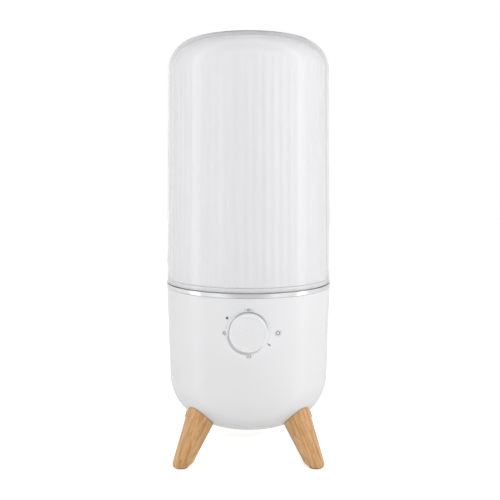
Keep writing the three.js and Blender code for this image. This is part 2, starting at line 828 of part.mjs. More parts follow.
function addCover() {
  const lip = coverScrewCircle - screwHeadRadius * 2;
  const steps = [0, 1 / 2, 1];
  const lower = steps.map((step) => [step * coverRadius, formHeight(bowl, 0, step * coverRadius)]);
  const upper = steps.map((step) => [step * lip, formHeight(bowl, coverThickness, step * lip)]);
  const outline = [...lower, [coverRadius, coverTop], [lip + coverThickness, coverTop]];
  const plate = revolve([...outline, ...upper.reverse()], roundSegments);
  const cuts = [];
  const slotLength = ventOuter - ventInner;
  for (let i = 0; i < ventCount; i++) {
    const slot = block(slotLength, ventWidth, groundClearance - over, coverTop + over);
    const angle = ((i + 1 / 2) * 2 * Math.PI) / ventCount;
    cuts.push(slot.translate(ventInner + slotLength / 2, 0, 0).rotateZ(angle));
  }
  const headSeat = formHeight(bowl, 0, coverScrewCircle) + gap;
  const headTop = headSeat + screwHeadHeight;
  for (let i = 0; i < coverScrewCount; i++) {
    const angle = (i * 2 * Math.PI) / coverScrewCount;
    const place = (tool) => tool.translate(coverScrewCircle, 0, 0).rotateZ(angle);
    cuts.push(place(disc(screwHeadRadius + gap, groundClearance, headTop + gap, tinySegments)));
    cuts.push(place(disc(coverScrewRadius + gap, headSeat, coverTop + over, tinySegments)));
    const holder = addGroup(base);
    holder.rotation.z = angle;
    const screw = revolve([
      [0, headSeat],
      [screwHeadRadius, headSeat],
      [screwHeadRadius, headTop],
      [coverScrewRadius, headTop],
      [coverScrewRadius, ledgeTop - gap],
      [0, ledgeTop - gap],
    ], tinySegments);
    const screwMesh = addPart(holder, `bottom_screw_${i + 1}`, screw, finishes.steel());
    screwMesh.position.x = coverScrewCircle;
  }
  addPart(base, 'bottom_cover', cut(plate, ...cuts), finishes.whitePlastic());
}

function addLegs() {
  const names = ['rear_right', 'rear_left', 'front_left', 'front_right'];
  const length = legSeat.z / Math.cos(legSplay);
  const taper = (legTopRadius - legFootRadius) / length;
  const [high, low] = [legTopRadius, -length - legFootRadius];
  const bowlSolid = revolve([...formOutline(bowl, -gap, 0), [0, baseHeight]]);
  const floor = block(bodyRadius * 4, bodyRadius * 4, -bodyRadius, padThickness + gap);
  const stick = alongLeg(revolve([
    [0, low],
    [legTopRadius + low * taper, low],
    [legTopRadius + high * taper, high],
    [0, high],
  ], mediumSegments));
  const pilot = alongLeg(disc(legScrewRadius + gap, -legScrewDepth - gap, high, tinySegments));
  const headSeat = legBossTop + gap;
  const screw = alongLeg(revolve([
    [0, -legScrewDepth],
    [legScrewRadius, -legScrewDepth],
    [legScrewRadius, headSeat],
    [legScrewHeadRadius, headSeat],
    [legScrewHeadRadius, headSeat + legScrewHeadHeight],
    [0, headSeat + legScrewHeadHeight],
  ], tinySegments));
  const footX = legSeat.x + (legSeat.z - padThickness) * Math.tan(legSplay);
  legAngles.forEach((angle, i) => {
    const group = addGroup(base);
    group.rotation.z = angle;
    addPart(group, `leg_${names[i]}`, cut(stick, bowlSolid, floor, pilot), finishes.wood());
    addPart(group, `leg_screw_${names[i]}`, screw, finishes.steel());
    const pad = addPart(group, `foot_pad_${names[i]}`,
      disc(legFootRadius - padInset, 0, padThickness), finishes.rubber());
    pad.position.x = footX;
  });
}

// ---- Tank, measured from its own rim ----

const linerInset = shellWall + linerSpace;
const floorTop = tankFloorRise + tankFloorThickness;
const linerSeat = floorTop + gap;
const neckEnd = tankFloorRise - neckLength;
const sealTop = neckEnd - gap;
const capPlateTop = sealTop - sealThickness - gap;
const neckRadius = capRadius - capWall - gap;
const mouthSeat = formHeight(dome, linerInset, linerMouthRadius) + gap;
const collarBottom = tankHeight - collarDepth;
const collarTop = collarBottom + collarThickness;

function capUnderside() {
  return capPlateTop - capPlate;
}

function addTankBody() {
  addPart(tank, 'tank_shell', revolve(shellOf(dome, 0, shellWall, mouthRadius)),
    finishes.clearPlastic());
  const linerForm = { ...dome, rimHeight: linerSeat, rim: wallRadius(dome, linerSeat) };
  addPart(tank, 'fluted_liner', revolve(shellOf(linerForm, linerInset, linerWall, linerMouthRadius)),
    finishes.linerPlastic());
  const skirt = bodyRadius + ringProud - ringWidth - slideGap;
  const plateRadius = wallRadius(dome, floorTop) - shellWall - gap;
  const plate = revolve([
    [chimneyRadius + gap, tankFloorRise],
    [skirt - skirtWall, tankFloorRise],
    [skirt - skirtWall, -skirtDepth],
    [skirt, -skirtDepth],
    [skirt, tankFloorRise],
    [plateRadius, tankFloorRise],
    [plateRadius, floorTop],
    [chimneyRadius + gap, floorTop],
  ]);
  const neck = disc(neckRadius, neckEnd, floorTop, mediumSegments).translate(capAcross, 0, 0);
  const mouth = disc(neckRadius - neckWall, neckEnd - over, floorTop + over, mediumSegments)
    .translate(capAcross, 0, 0);
  addPart(tank, 'tank_floor', cut(join(plate, neck), mouth), finishes.linerPlastic());
}

function addMistPath() {
  const flangeTop = collarBottom - gap;
  addPart(tank, 'mist_chimney', revolve([
    [chimneyBore, -chimneyDrop],
    [chimneyRadius, -chimneyDrop],
    [chimneyRadius, linerSeat],
    [chimneyRadius + chimneyFlangeWidth, linerSeat],
    [chimneyRadius + chimneyFlangeWidth, linerSeat + chimneyFlangeThickness],
    [chimneyRadius, linerSeat + chimneyFlangeThickness],
    [chimneyRadius, mouthSeat],
    [mouthRadius - gap, mouthSeat],
    [mouthRadius - gap, flangeTop],
    [chimneyBore, flangeTop],
  ], mediumSegments), finishes.linerPlastic());
  addPart(tank, 'chimney_seal', tube(chimneyRadius + gap, linerMouthRadius - gap,
    mouthSeat - gap - linerWall, mouthSeat - gap, mediumSegments), finishes.silicone());
  const sleeve = chimneyBore - gap;
  const collarRim = formHeight(dome, 0, mouthRadius);
  addPart(tank, 'nozzle_collar', revolve([
    [sleeve - sleeveWall, collarBottom - sleeveLength],
    [sleeve, collarBottom - sleeveLength],
    [sleeve, collarBottom],
    [mouthRadius - gap, collarBottom],
    [mouthRadius - gap, collarRim],
    [nozzleRadius + gap, collarRim],
    [nozzleRadius + gap, collarTop],
    [sleeve - sleeveWall, collarTop],
  ], mediumSegments), finishes.whitePlastic());
  const stem = sleeve - sleeveWall - gap;
  const seat = collarTop + gap;
  const nozzle = revolve([
    [stem - nozzleStemWall, seat - nozzleStemLength],
    [stem, seat - nozzleStemLength],
    [stem, seat],
    [nozzleRadius, seat],
    [nozzleRadius, seat + nozzleThickness / 2],
    [nozzleRadius - nozzleThickness / 2, seat + nozzleThickness],
    [stem - nozzleStemWall, seat + nozzleThickness],
  ], mediumSegments);
  const cover = disc(stem - nozzleStemWall / 2, seat, seat + nozzleThickness, mediumSegments);
  const hole = disc(mistHoleRadius, -nozzleThickness / 2, nozzleThickness * 3)
    .rotateY(mistHoleTilt)
    .translate(0, 0, seat);
  addPart(tank, 'mist_nozzle', cut(join(nozzle, cover), hole), finishes.whitePlastic());
}

function addValve() {
  const cap = addGroup(tank, capAcross, 0, 0);
  const under = capUnderside();
  addPart(cap, 'fill_cap', revolve([
    [valveHole, under],
    [capRadius, under],
    [capRadius, tankFloorRise - slideGap],
    [capRadius - capWall, tankFloorRise - slideGap],
    [capRadius - capWall, capPlateTop],
    [valveHole, capPlateTop],
  ], mediumSegments), finishes.whitePlastic());
  addPart(cap, 'cap_seal', tube(neckRadius - neckWall, neckRadius, sealTop - sealThickness, sealTop),
    finishes.silicone());
  const cageBottom = capPlateTop + gap;
  const cageTop = cageBottom + cageHeight;
  const cageInner = washerRadius + slideGap;
  const guide = stemRadius + slideGap;
  const cage = revolve([
    [cageInner, cageBottom],
    [cageInner + cageWall, cageBottom],
    [cageInner + cageWall, cageTop],
    [guide, cageTop],
    [guide, cageTop - cagePlate],
    [cageInner, cageTop - cagePlate],
  ], smallSegments);
  const windowBottom = cageBottom + cagePlate;
  const window = block(cageInner * 3, cageInner, windowBottom, cageTop - cagePlate * 2);
  addPart(cap, 'spring_retainer', cut(cage, window), finishes.whitePlastic());
  const washerBottom = cageBottom + valveTravel;
  const washerTop = washerBottom + washerThickness;
  addPart(cap, 'valve_washer', tube(stemRadius + gap, washerRadius, washerBottom, washerTop),
    finishes.silicone());
  const headBottom = washerTop + gap;
  const headTop = headBottom + headThickness;
  addPart(cap, 'valve_plunger', revolve([
    [0, under - stemBelowCap],
    [stemRadius, under - stemBelowCap],
    [stemRadius, headBottom],
    [headRadius, headBottom],
    [headRadius, headTop],
    [stemRadius, headTop],
    [stemRadius, cageTop + valveTravel + gap],
    [0, cageTop + valveTravel + gap],
  ], tinySegments), finishes.whitePlastic());
  const springBottom = headTop + gap + springWire;
  const springTop = cageTop - cagePlate - gap - springWire;
  addPart(cap, 'valve_spring', coilSpring(springBottom, springTop), finishes.steel());
}

class Helix extends THREE.Curve {
  constructor(radius, bottom, top, turns) {
    super();
    Object.assign(this, { radius, bottom, top, turns });
  }

  getPoint(t, target = new THREE.Vector3()) {
    const angle = t * this.turns * 2 * Math.PI;
    const height = THREE.MathUtils.lerp(this.bottom, this.top, t);
    return target.set(this.radius * Math.cos(angle), this.radius * Math.sin(angle), height);
  }
}

function coilSpring(bottom, top) {
  const section = new THREE.Shape().absarc(0, 0, springWire, 0, 2 * Math.PI);
  return new THREE.ExtrudeGeometry(section, {
    steps: springTurns * springTurnSteps,
    curveSegments: springSides,
    extrudePath: new Helix(springCoilRadius, bottom, top, springTurns),
  });
}

addPart(base, 'base_housing', makeHousing(), finishes.whitePlastic());
addPart(base, 'trim_ring', makeRing(), finishes.chrome());
addPart(base, 'water_basin', makeBasin(), finishes.whitePlastic());
addTower();
addTransducer();
addFloatSwitch();
addFan();
addElectronics();
addDial();
addLights();
addInlet();
addCover();
addLegs();
addTankBody();
addMistPath();
addValve();

export default humidifier;
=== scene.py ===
import json
import math
import random
import bmesh
import bpy
from mathutils import Matrix, Vector


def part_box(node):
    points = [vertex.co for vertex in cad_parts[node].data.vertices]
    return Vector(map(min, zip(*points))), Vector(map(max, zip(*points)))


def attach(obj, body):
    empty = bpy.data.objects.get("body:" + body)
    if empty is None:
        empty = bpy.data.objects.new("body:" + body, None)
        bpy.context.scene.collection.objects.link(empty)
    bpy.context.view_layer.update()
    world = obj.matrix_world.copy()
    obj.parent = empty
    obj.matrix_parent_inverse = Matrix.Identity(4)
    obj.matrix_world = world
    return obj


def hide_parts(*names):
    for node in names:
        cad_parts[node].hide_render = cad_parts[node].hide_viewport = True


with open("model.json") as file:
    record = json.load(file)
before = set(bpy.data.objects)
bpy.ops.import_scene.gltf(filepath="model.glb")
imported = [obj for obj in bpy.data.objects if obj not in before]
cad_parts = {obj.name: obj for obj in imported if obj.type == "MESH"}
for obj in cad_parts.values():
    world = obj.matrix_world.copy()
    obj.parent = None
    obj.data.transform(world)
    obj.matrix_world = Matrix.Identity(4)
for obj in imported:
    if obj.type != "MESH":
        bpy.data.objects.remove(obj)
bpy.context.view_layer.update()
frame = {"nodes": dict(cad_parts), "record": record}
print("frame loaded:", len(frame["nodes"]), "pieces")

mm = 0.001
tiny = 1e-7
skin = 0.05 * mm  # how far printed marks sink into the surface they lie on
gap = 0.3 * mm  # clearance between pieces that don't touch
past = 1 * mm  # how far a cutting tool reaches past what it cuts

ringLow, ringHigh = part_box("trim_ring")
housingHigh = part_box("base_housing")[1]
coverLow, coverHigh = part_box("bottom_cover")
shellLow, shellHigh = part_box("tank_shell")
knobLow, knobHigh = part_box("knob")
axisY = (ringLow.y + ringHigh.y) / 2  # the upright axis that tank, ring and bowl share
bodyAxis = Matrix.Translation((0, axisY, 0))
rimRadius = housingHigh.x


def newPiece(name, mesh):
    piece = bpy.data.objects.new(name, mesh)
    bpy.context.scene.collection.objects.link(piece)
    return piece


def softEdges(mesh, angle=32):
    # smooth faces, with a hard edge wherever the surface turns by more than the angle
    work = bmesh.new()
    work.from_mesh(mesh)
    limit = math.radians(angle)
    for face in work.faces:
        face.smooth = True
    for edge in work.edges:
        edge.smooth = len(edge.link_faces) == 2 and edge.calc_face_angle(0) < limit
    work.to_mesh(mesh)
    work.free()


def closedMesh(name, points, faces, place=None):
    mesh = bpy.data.meshes.new(name)
    mesh.from_pydata(points, [], faces)
    work = bmesh.new()
    work.from_mesh(mesh)
    bmesh.ops.recalc_face_normals(work, faces=work.faces)
    work.to_mesh(mesh)
    work.free()
    if place is not None:
        mesh.transform(place)
    return mesh


def rounded(points, steps=4):
    # corners given as (radius, height, rounding) become arcs
    done = []
    for i, point in enumerate(points):
        if len(point) == 2:
            done.append(tuple(point))
            continue
        here = Vector(point[:2])
        back = (Vector(points[i - 1][:2]) - here).normalized()
        ahead = (Vector(points[(i + 1) % len(points)][:2]) - here).normalized()
        half = back.angle(ahead) / 2
        reach = point[2] / math.tan(half)
        centre = here + (back + ahead).normalized() * (point[2] / math.sin(half))
        first, last = here + back * reach - centre, here + ahead * reach - centre
        for step in range(steps + 1):
            spoke = first.lerp(last, step / steps).normalized() * point[2]
            done.append(tuple(centre + spoke))
    return done


def ringFaces(rings):
    # the faces between rings of points, where a ring of one point is a pole
    faces = []
    for low, high in zip(rings, rings[1:]):
        count = max(len(low), len(high))
        for j in range(count if count > 1 else 0):
            k = (j + 1) % count
            if len(low) == 1:
                faces.append((low[0], high[k], high[j]))
            elif len(high) == 1:
                faces.append((low[j], low[k], high[0]))
            else:
                faces.append((low[j], low[k], high[k], high[j]))
    return faces


def lathe(name, outline, segments=96, place=None, weights=None):
    # revolves (radius, height) points; an outline that stays off the axis closes on itself
    points, rings, ringOf = [], [], []
    for index, (radius, height) in enumerate(outline):
        count = 1 if radius < tiny else segments
        rings.append(range(len(points), len(points) + count))
        for j in range(count):
            angle = 2 * math.pi * j / segments
            points.append((radius * math.cos(angle), radius * math.sin(angle), height))
            ringOf.append(index)
    if len(rings[0]) > 1 or len(rings[-1]) > 1:
        rings.append(rings[0])
    mesh = closedMesh(name, points, ringFaces(rings), place)
    if weights:
        values = mesh.attributes.new("ribWeight", "FLOAT", "POINT")
        values.data.foreach_set("value", [weights[i] for i in ringOf])
    softEdges(mesh)
    return newPiece(name, mesh)


def baked(piece):
    # the evaluated shape as a plain mesh, with the modifiers gone
    graph = bpy.context.evaluated_depsgraph_get()
    mesh = bpy.data.meshes.new_from_object(piece.evaluated_get(graph))
    name = piece.name
    bpy.data.objects.remove(piece)
    mesh.name = name
    return newPiece(name, mesh)


def welded(mesh, reach=1e-6):
    # merges the doubled points that a cut leaves, and drops the slivers between them
    work = bmesh.new()
    work.from_mesh(mesh)
    bmesh.ops.remove_doubles(work, verts=work.verts, dist=reach)
    bmesh.ops.dissolve_degenerate(work, edges=work.edges, dist=reach)
    work.to_mesh(mesh)
    work.free()


def withTool(piece, tool, operation="DIFFERENCE"):
    change = piece.modifiers.new("tool", "BOOLEAN")
    change.operation = operation
    change.solver = "EXACT"
    change.object = tool
    done = baked(piece)
    bpy.data.objects.remove(tool)
    welded(done.data)
    softEdges(done.data)
    return done


def joined(name, pieces):
    work = bmesh.new()
    for piece in pieces:
        work.from_mesh(piece.data)
        bpy.data.objects.remove(piece)
    mesh = bpy.data.meshes.new(name)
    work.to_mesh(mesh)
    work.free()
    return newPiece(name, mesh)


def rod(radius, low, high, place=None, segments=48):
    return lathe("rod", [(0, low), (radius, low), (radius, high), (0, high)], segments, place)


def bar(length, width, low, high, place=None):
    xs, ys, zs = (-length / 2, length / 2), (-width / 2, width / 2), (low, high)
    points = [(x, y, z) for x in xs for y in ys for z in zs]
    faces = [(0, 1, 3, 2), (4, 6, 7, 5), (0, 4, 5, 1), (2, 3, 7, 6), (0, 2, 6, 4), (1, 5, 7, 3)]
    return newPiece("bar", closedMesh("bar", points, faces, place))


def upright(x, y):
    return Matrix.Translation((x, y, 0))


def forward(x, y, z):
    # a frame whose own +Z points out of the front
    return Matrix.Translation((x, y, z)) @ Matrix.Rotation(math.pi / 2, 4, "X")


def backward(x, y, z):
    return Matrix.Translation((x, y, z)) @ Matrix.Rotation(-math.pi / 2, 4, "X")


# dome and bowl share one form: straight wall, round shoulder, shallow crown

def shoulderCentre(form):
    # radius and height of the circle that the round shoulder turns about
    radius = form["wall"] - form["shoulder"]
    rise = math.sqrt((form["crown"] - form["shoulder"]) ** 2 - radius ** 2)
    return radius, form["apex"] - form["up"] * (form["crown"] - rise)


def formPoints(form, inset=0.0, start=0.0, crownSteps=12, shoulderSteps=20, wallSteps=8):
    up = form["up"]
    centreRadius, centreHeight = shoulderCentre(form)
    crown, shoulder = form["crown"] - inset, form["shoulder"] - inset
    crownCentre = form["apex"] - up * form["crown"]
    tangent = math.asin(centreRadius / (form["crown"] - form["shoulder"]))
    first = math.asin(start / crown)
    points = []
    for i in range(crownSteps):
        angle = first + (tangent - first) * i / crownSteps
        points.append((crown * math.sin(angle), crownCentre + up * crown * math.cos(angle)))
    for i in range(shoulderSteps + 1):
        angle = tangent + (math.pi / 2 - tangent) * i / shoulderSteps
        points.append((centreRadius + shoulder * math.sin(angle),
                       centreHeight + up * shoulder * math.cos(angle)))
    low, high = Vector(points[-1]), Vector((form["rim"] - inset, form["rimHeight"]))
    points += [tuple(low.lerp(high, i / wallSteps)) for i in range(1, wallSteps + 1)]
    return points


def wallRadius(form, height):
    start = shoulderCentre(form)[1]
    share = (height - start) / (form["rimHeight"] - start)
    return form["wall"] + (form["rim"] - form["wall"]) * share


bowl = {
    "apex": coverLow.z,
    "crown": 183 * mm,
    "shoulder": 44.5 * mm,
    "wall": rimRadius - 2.0 * mm,
    "rim": rimRadius,
    "rimHeight": housingHigh.z,
    "up": -1,
}
dome = {
    "apex": shellLow.z + 222.5 * mm,
    "crown": 269 * mm,
    "shoulder": 27.1 * mm,
    "wall": shellHigh.x - 2.9 * mm,
    "rim": shellHigh.x,
    "rimHeight": ringHigh.z + 0.12 * mm,
    "up": 1,
}


def addInputs(tree, inputs):
    for title, kind, value in inputs:
        socket = tree.interface.new_socket(title, in_out="INPUT", socket_type="NodeSocket" + kind)
        if value is not None:
            socket.default_value = value


def newTree(name, inputs):
    tree = bpy.data.node_groups.new(name, "GeometryNodeTree")
    tree.is_modifier = True
    tree.interface.new_socket("Geometry", in_out="INPUT", socket_type="NodeSocketGeometry")
    addInputs(tree, inputs)
    tree.interface.new_socket("Geometry", in_out="OUTPUT", socket_type="NodeSocketGeometry")
    return tree


def addNode(tree, kind, settings=None, values=None):
    node = tree.nodes.new(kind)
    for key, value in (settings or {}).items():
        setattr(node, key, value)
    for key, value in (values or {}).items():
        if isinstance(value, bpy.types.NodeSocket):
            tree.links.new(value, node.inputs[key])
        else:
            node.inputs[key].default_value = value
    return node


def maths(tree, operation, *values):
    return addNode(tree, "ShaderNodeMath", {"operation": operation}, dict(enumerate(values))).outputs[0]


def times(tree, *values):
    return maths(tree, "MULTIPLY", *values)


def vectorMaths(tree, operation, *values):
    node = addNode(tree, "ShaderNodeVectorMath", {"operation": operation}, dict(enumerate(values)))
    return node.outputs[0]


def grown(piece, tree, values):
    # runs a geometry tree on a piece with its inputs set by socket identifier
    change = piece.modifiers.new(tree.name, "NODES")
    change.node_group = tree
    for item in tree.interface.items_tree:
        if item.item_type == "SOCKET" and item.in_out == "INPUT" and item.name in values:
            change[item.identifier] = values[item.name]
    return baked(piece)


def closed(tree, shape, finish):
    # ends a geometry tree with real geometry in its material
    real = addNode(tree, "GeometryNodeRealizeInstances", values={0: shape}).outputs[0]
    painted = addNode(tree, "GeometryNodeSetMaterial", values={"Geometry": real, "Material": finish})
    addNode(tree, "NodeGroupOutput", values={"Geometry": painted.outputs[0]})
    return tree


def ribTree():
    # pulls a round wall inwards between evenly spaced ribs, as far as its own rib weight says
    tree = newTree("ribbedWall", [
        ("Ribs", "Int", 60), ("Depth", "Float", 0.0006), ("Sharpness", "Float", 1.0),
        ("Centre", "Vector", None), ("Finish", "Material", None),
    ])
    given = addNode(tree, "NodeGroupInput").outputs
    place = addNode(tree, "GeometryNodeInputPosition").outputs[0]
    flat = vectorMaths(tree, "MULTIPLY", vectorMaths(tree, "SUBTRACT", place, given["Centre"]), (1, 1, 0))
    outward = vectorMaths(tree, "NORMALIZE", flat)
    parts = addNode(tree, "ShaderNodeSeparateXYZ", values={0: flat})
    angle = maths(tree, "ARCTAN2", parts.outputs[1], parts.outputs[0])
    wave = maths(tree, "COSINE", times(tree, angle, given["Ribs"]))
    valley = times(tree, maths(tree, "SUBTRACT", 1.0, wave), 0.5)
    shaped = maths(tree, "POWER", valley, given["Sharpness"])
    weight = addNode(tree, "GeometryNodeInputNamedAttribute", {"data_type": "FLOAT"},
                     {"Name": "ribWeight"}).outputs[0]
    reach = times(tree, times(tree, shaped, weight), given["Depth"])
    pull = addNode(tree, "ShaderNodeVectorMath", {"operation": "SCALE"},
                   {0: outward, "Scale": times(tree, reach, -1.0)}).outputs[0]
    moved = addNode(tree, "GeometryNodeSetPosition",
                    values={"Geometry": given["Geometry"], "Offset": pull}).outputs[0]
    return closed(tree, moved, given["Finish"])


def circleTree():
    # copies of one piece round a circle, each turned to face out and then by a seeded amount
    tree = newTree("ringOfCopies", [
        ("Piece", "Object", None), ("Count", "Int", 4), ("Radius", "Float", 0.03),
        ("Start", "Float", 0.0), ("Height", "Float", 0.0), ("Centre", "Vector", None),
        ("Spin", "Float", 0.0), ("Seed", "Int", 1), ("Finish", "Material", None),
    ])
    given = addNode(tree, "NodeGroupInput").outputs
    row = addNode(tree, "GeometryNodeMeshLine", {"mode": "OFFSET", "count_mode": "TOTAL"},
                  {"Count": given["Count"], "Offset": (0, 0, 0)}).outputs[0]
    order = addNode(tree, "GeometryNodeInputIndex").outputs[0]
    step = maths(tree, "DIVIDE", 2 * math.pi, given["Count"])
    angle = maths(tree, "MULTIPLY_ADD", order, step, given["Start"])
    spot = addNode(tree, "ShaderNodeCombineXYZ", values={
        0: times(tree, maths(tree, "COSINE", angle), given["Radius"]),
        1: times(tree, maths(tree, "SINE", angle), given["Radius"])}).outputs[0]
    spaced = addNode(tree, "GeometryNodeSetPosition", values={"Geometry": row, "Position": spot})
    lift = addNode(tree, "ShaderNodeCombineXYZ", values={2: given["Height"]}).outputs[0]
    middle = vectorMaths(tree, "ADD", lift, given["Centre"])
    source = addNode(tree, "GeometryNodeObjectInfo", values={0: given["Piece"]})
    chance = addNode(tree, "FunctionNodeRandomValue", {"data_type": "FLOAT"})
    tree.links.new(given["Seed"], chance.inputs["Seed"])
    spin = times(tree, chance.outputs[1], given["Spin"])
    facing = addNode(tree, "ShaderNodeCombineXYZ", values={2: maths(tree, "ADD", angle, spin)}).outputs[0]
    copies = addNode(tree, "GeometryNodeInstanceOnPoints", values={
        "Points": spaced.outputs[0], "Instance": source.outputs["Geometry"],
        "Rotation": facing}).outputs[0]
    shifted = addNode(tree, "GeometryNodeTransform",
                      values={"Geometry": copies, "Translation": middle}).outputs[0]
    return closed(tree, shifted, given["Finish"])


ribs, circle = ribTree(), circleTree()


def copiesRound(name, piece, values):
    holder = newPiece(name, bpy.data.meshes.new(name))
    values = {"Piece": piece, "Centre": (0, axisY, 0), **values}
    done = grown(holder, circle, values)
    bpy.data.objects.remove(piece)
    softEdges(done.data)
    return done


def newGroup(name, inputs, outputs=("Colour", "Roughness", "Height")):
    # a shader group, and its inputs by name
    group = bpy.data.node_groups.new(name, "ShaderNodeTree")
    addInputs(group, inputs)
    for title in outputs:
        kind = "Color" if title == "Colour" else "Float"
        group.interface.new_socket(title, in_out="OUTPUT", socket_type="NodeSocket" + kind)
    return group, addNode(group, "NodeGroupInput").outputs


def noise(tree, vector, scale, detail=3.0, roughness=0.5, distortion=0.0):
    node = addNode(tree, "ShaderNodeTexNoise", values={
        "Vector": vector, "Scale": scale, "Detail": detail, "Roughness": roughness,
        "Distortion": distortion})
    return node.outputs["Fac"]


def spread(tree, value, low, high, toLow=0.0, toHigh=1.0):
    node = addNode(tree, "ShaderNodeMapRange", {"clamp": True}, {
        "Value": value, "From Min": low, "From Max": high, "To Min": toLow, "To Max": toHigh})
    return node.outputs[0]


def weighted(tree, first, firstShare, second, secondShare):
    return maths(tree, "ADD", times(tree, first, firstShare), times(tree, second, secondShare))


def blended(tree, share, first, second):
    colours = {0: share, 6: first, 7: second}  # the mix node's factor and two colours
    return addNode(tree, "ShaderNodeMix", {"data_type": "RGBA"}, colours).outputs[2]


def mouldedGroup():
    # moulded plastic and rubber: slow tone drift, flow marks, fine grain
    group, given = newGroup("mouldedGrain", [
        ("Vector", "Vector", None), ("Colour", "Color", (0.8, 0.8, 0.8, 1)),
        ("Shade", "Color", (0.7, 0.7, 0.7, 1)), ("Drift Scale", "Float", 20.0),
        ("Grain Scale", "Float", 2500.0), ("Smoothest", "Float", 0.2), ("Roughest", "Float", 0.35),
    ])
    vector = given["Vector"]
    drift = noise(group, vector, given["Drift Scale"], 2.0, 0.5, 0.4)
    grain = noise(group, vector, given["Grain Scale"], 2.0, 0.6)
    flow = noise(group, vector, times(group, given["Drift Scale"], 6.0), 3.0)
    share = spread(group, drift, 0.35, 0.7)
    specks = spread(group, grain, 0.3, 0.8, 0.0, 0.35)
    tone = blended(group, share, given["Colour"], given["Shade"])
    mixed = weighted(group, flow, 0.6, grain, 0.4)
    addNode(group, "NodeGroupOutput", values={
        "Colour": blended(group, specks, tone, given["Shade"]),
        "Roughness": spread(group, mixed, 0.3, 0.7, given["Smoothest"], given["Roughest"]),
        "Height": weighted(group, grain, 0.7, flow, 0.3)})
    return group


def metalGroup():
    # machined or plated metal: streaks along one direction over a faint mottle
    group, given = newGroup("workedMetal", [
        ("Vector", "Vector", None), ("Colour", "Color", (0.7, 0.7, 0.7, 1)),
        ("Shade", "Color", (0.5, 0.5, 0.5, 1)), ("Stretch", "Vector", (200.0, 200.0, 4000.0)),
        ("Smoothest", "Float", 0.2), ("Roughest", "Float", 0.4),
    ])
    stretched = vectorMaths(group, "MULTIPLY", given["Vector"], given["Stretch"])
    streaks = noise(group, stretched, 1.0, 3.0, 0.6)
    mottle = noise(group, given["Vector"], 140.0, 3.0, 0.6)
    both = times(group, maths(group, "ADD", streaks, mottle), 0.5)
    share = spread(group, both, 0.35, 0.65)
    addNode(group, "NodeGroupOutput", values={
        "Colour": blended(group, share, given["Colour"], given["Shade"]),
        "Roughness": spread(group, both, 0.35, 0.65, given["Smoothest"], given["Roughest"]),
        "Height": streaks})
    return group


def woodGroup():
    # long grain along the vector's Z: growth lines, fine pores and soft figure
    group, given = newGroup("woodGrain", [
        ("Vector", "Vector", None), ("Pale", "Color", (0.8, 0.6, 0.4, 1)),
        ("Dark", "Color", (0.5, 0.3, 0.15, 1)), ("Pore", "Color", (0.3, 0.15, 0.07, 1)),
        ("Ring Width", "Float", 0.003), ("Smoothest", "Float", 0.35), ("Roughest", "Float", 0.55),
    ])
    along = vectorMaths(group, "MULTIPLY", given["Vector"], (1.0, 1.0, 0.09))
    wobble = noise(group, along, 110.0, 3.0, 0.5)
    parts = addNode(group, "ShaderNodeSeparateXYZ", values={0: given["Vector"]})
    radius = maths(group, "SQRT", maths(
        group, "ADD", maths(group, "POWER", maths(group, "ADD", parts.outputs[0], 0.011), 2.0),
        maths(group, "POWER", maths(group, "ADD", parts.outputs[1], 0.017), 2.0)))
    bent = maths(group, "ADD", radius, times(group, wobble, 0.012))
    band = maths(group, "POWER", maths(group, "FRACT", maths(
        group, "DIVIDE", bent, given["Ring Width"])), 2.2)
    fine = vectorMaths(group, "MULTIPLY", given["Vector"], (1.0, 1.0, 0.035))
    fibres = noise(group, fine, 1500.0, 3.0, 0.65)
    streaks = noise(group, fine, 420.0, 3.0, 0.6)
    figure = weighted(group, band, 0.42, spread(group, streaks, 0.35, 0.68), 0.58)
    tone = blended(group, spread(group, figure, 0.05, 0.95), given["Pale"], given["Dark"])
    pores = spread(group, fibres, 0.58, 0.72, 0.0, 0.7)
    addNode(group, "NodeGroupOutput", values={
        "Colour": blended(group, pores, tone, given["Pore"]),
        "Roughness": spread(group, fibres, 0.3, 0.7, given["Smoothest"], given["Roughest"]),
        "Height": weighted(group, fibres, -0.6, band, 0.25)})
    return group


def wearShadeAndDustGroup():
    # an edge colour on the corners: rubbed lighter on plastics, and on the wood painted darker as shade
    # along the edges; and a little dust on what faces up
    group, given = newGroup("edgeAndDust", [
        ("Vector", "Vector", None), ("Colour", "Color", (0.8, 0.8, 0.8, 1)),
        ("Rubbed", "Color", (0.9, 0.9, 0.9, 1)), ("Dust", "Color", (0.7, 0.68, 0.64, 1)),
        ("Edge Amount", "Float", 0.5), ("Dust Amount", "Float", 0.1), ("Roughness", "Float", 0.3),
    ], ("Colour", "Roughness"))
    shape = addNode(group, "ShaderNodeNewGeometry")
    patches = noise(group, given["Vector"], 90.0, 4.0, 0.6)
    corner = spread(group, shape.outputs["Pointiness"], 0.55, 0.63)
    # the patchy corner mask: rubbed wear on plastics, painted shade on the wood
    edge = times(group, times(group, corner, patches), given["Edge Amount"])
    upward = addNode(group, "ShaderNodeSeparateXYZ", values={0: shape.outputs["Normal"]}).outputs[2]
    fall = times(group, spread(group, upward, 0.5, 1.0), spread(group, patches, 0.35, 0.75))
    dusty = times(group, fall, given["Dust Amount"])
    tone = blended(group, edge, given["Colour"], given["Rubbed"])
    addNode(group, "NodeGroupOutput", values={
        "Colour": blended(group, dusty, tone, given["Dust"]),
        "Roughness": maths(group, "MULTIPLY_ADD", dusty, 0.5, given["Roughness"])})
    return group


moulded, worked, grained, wearShadeAndDust = mouldedGroup(), metalGroup(), woodGroup(), wearShadeAndDustGroup()


def newFinish(name, plain):
    finish = bpy.data.materials.new(name)
    finish.use_nodes = True
    tree = finish.node_tree
    tree.nodes.clear()
    shader = addNode(tree, "ShaderNodeBsdfPrincipled", values=plain)
    addNode(tree, "ShaderNodeOutputMaterial", values={"Surface": shader.outputs[0]})
    return finish, tree, shader


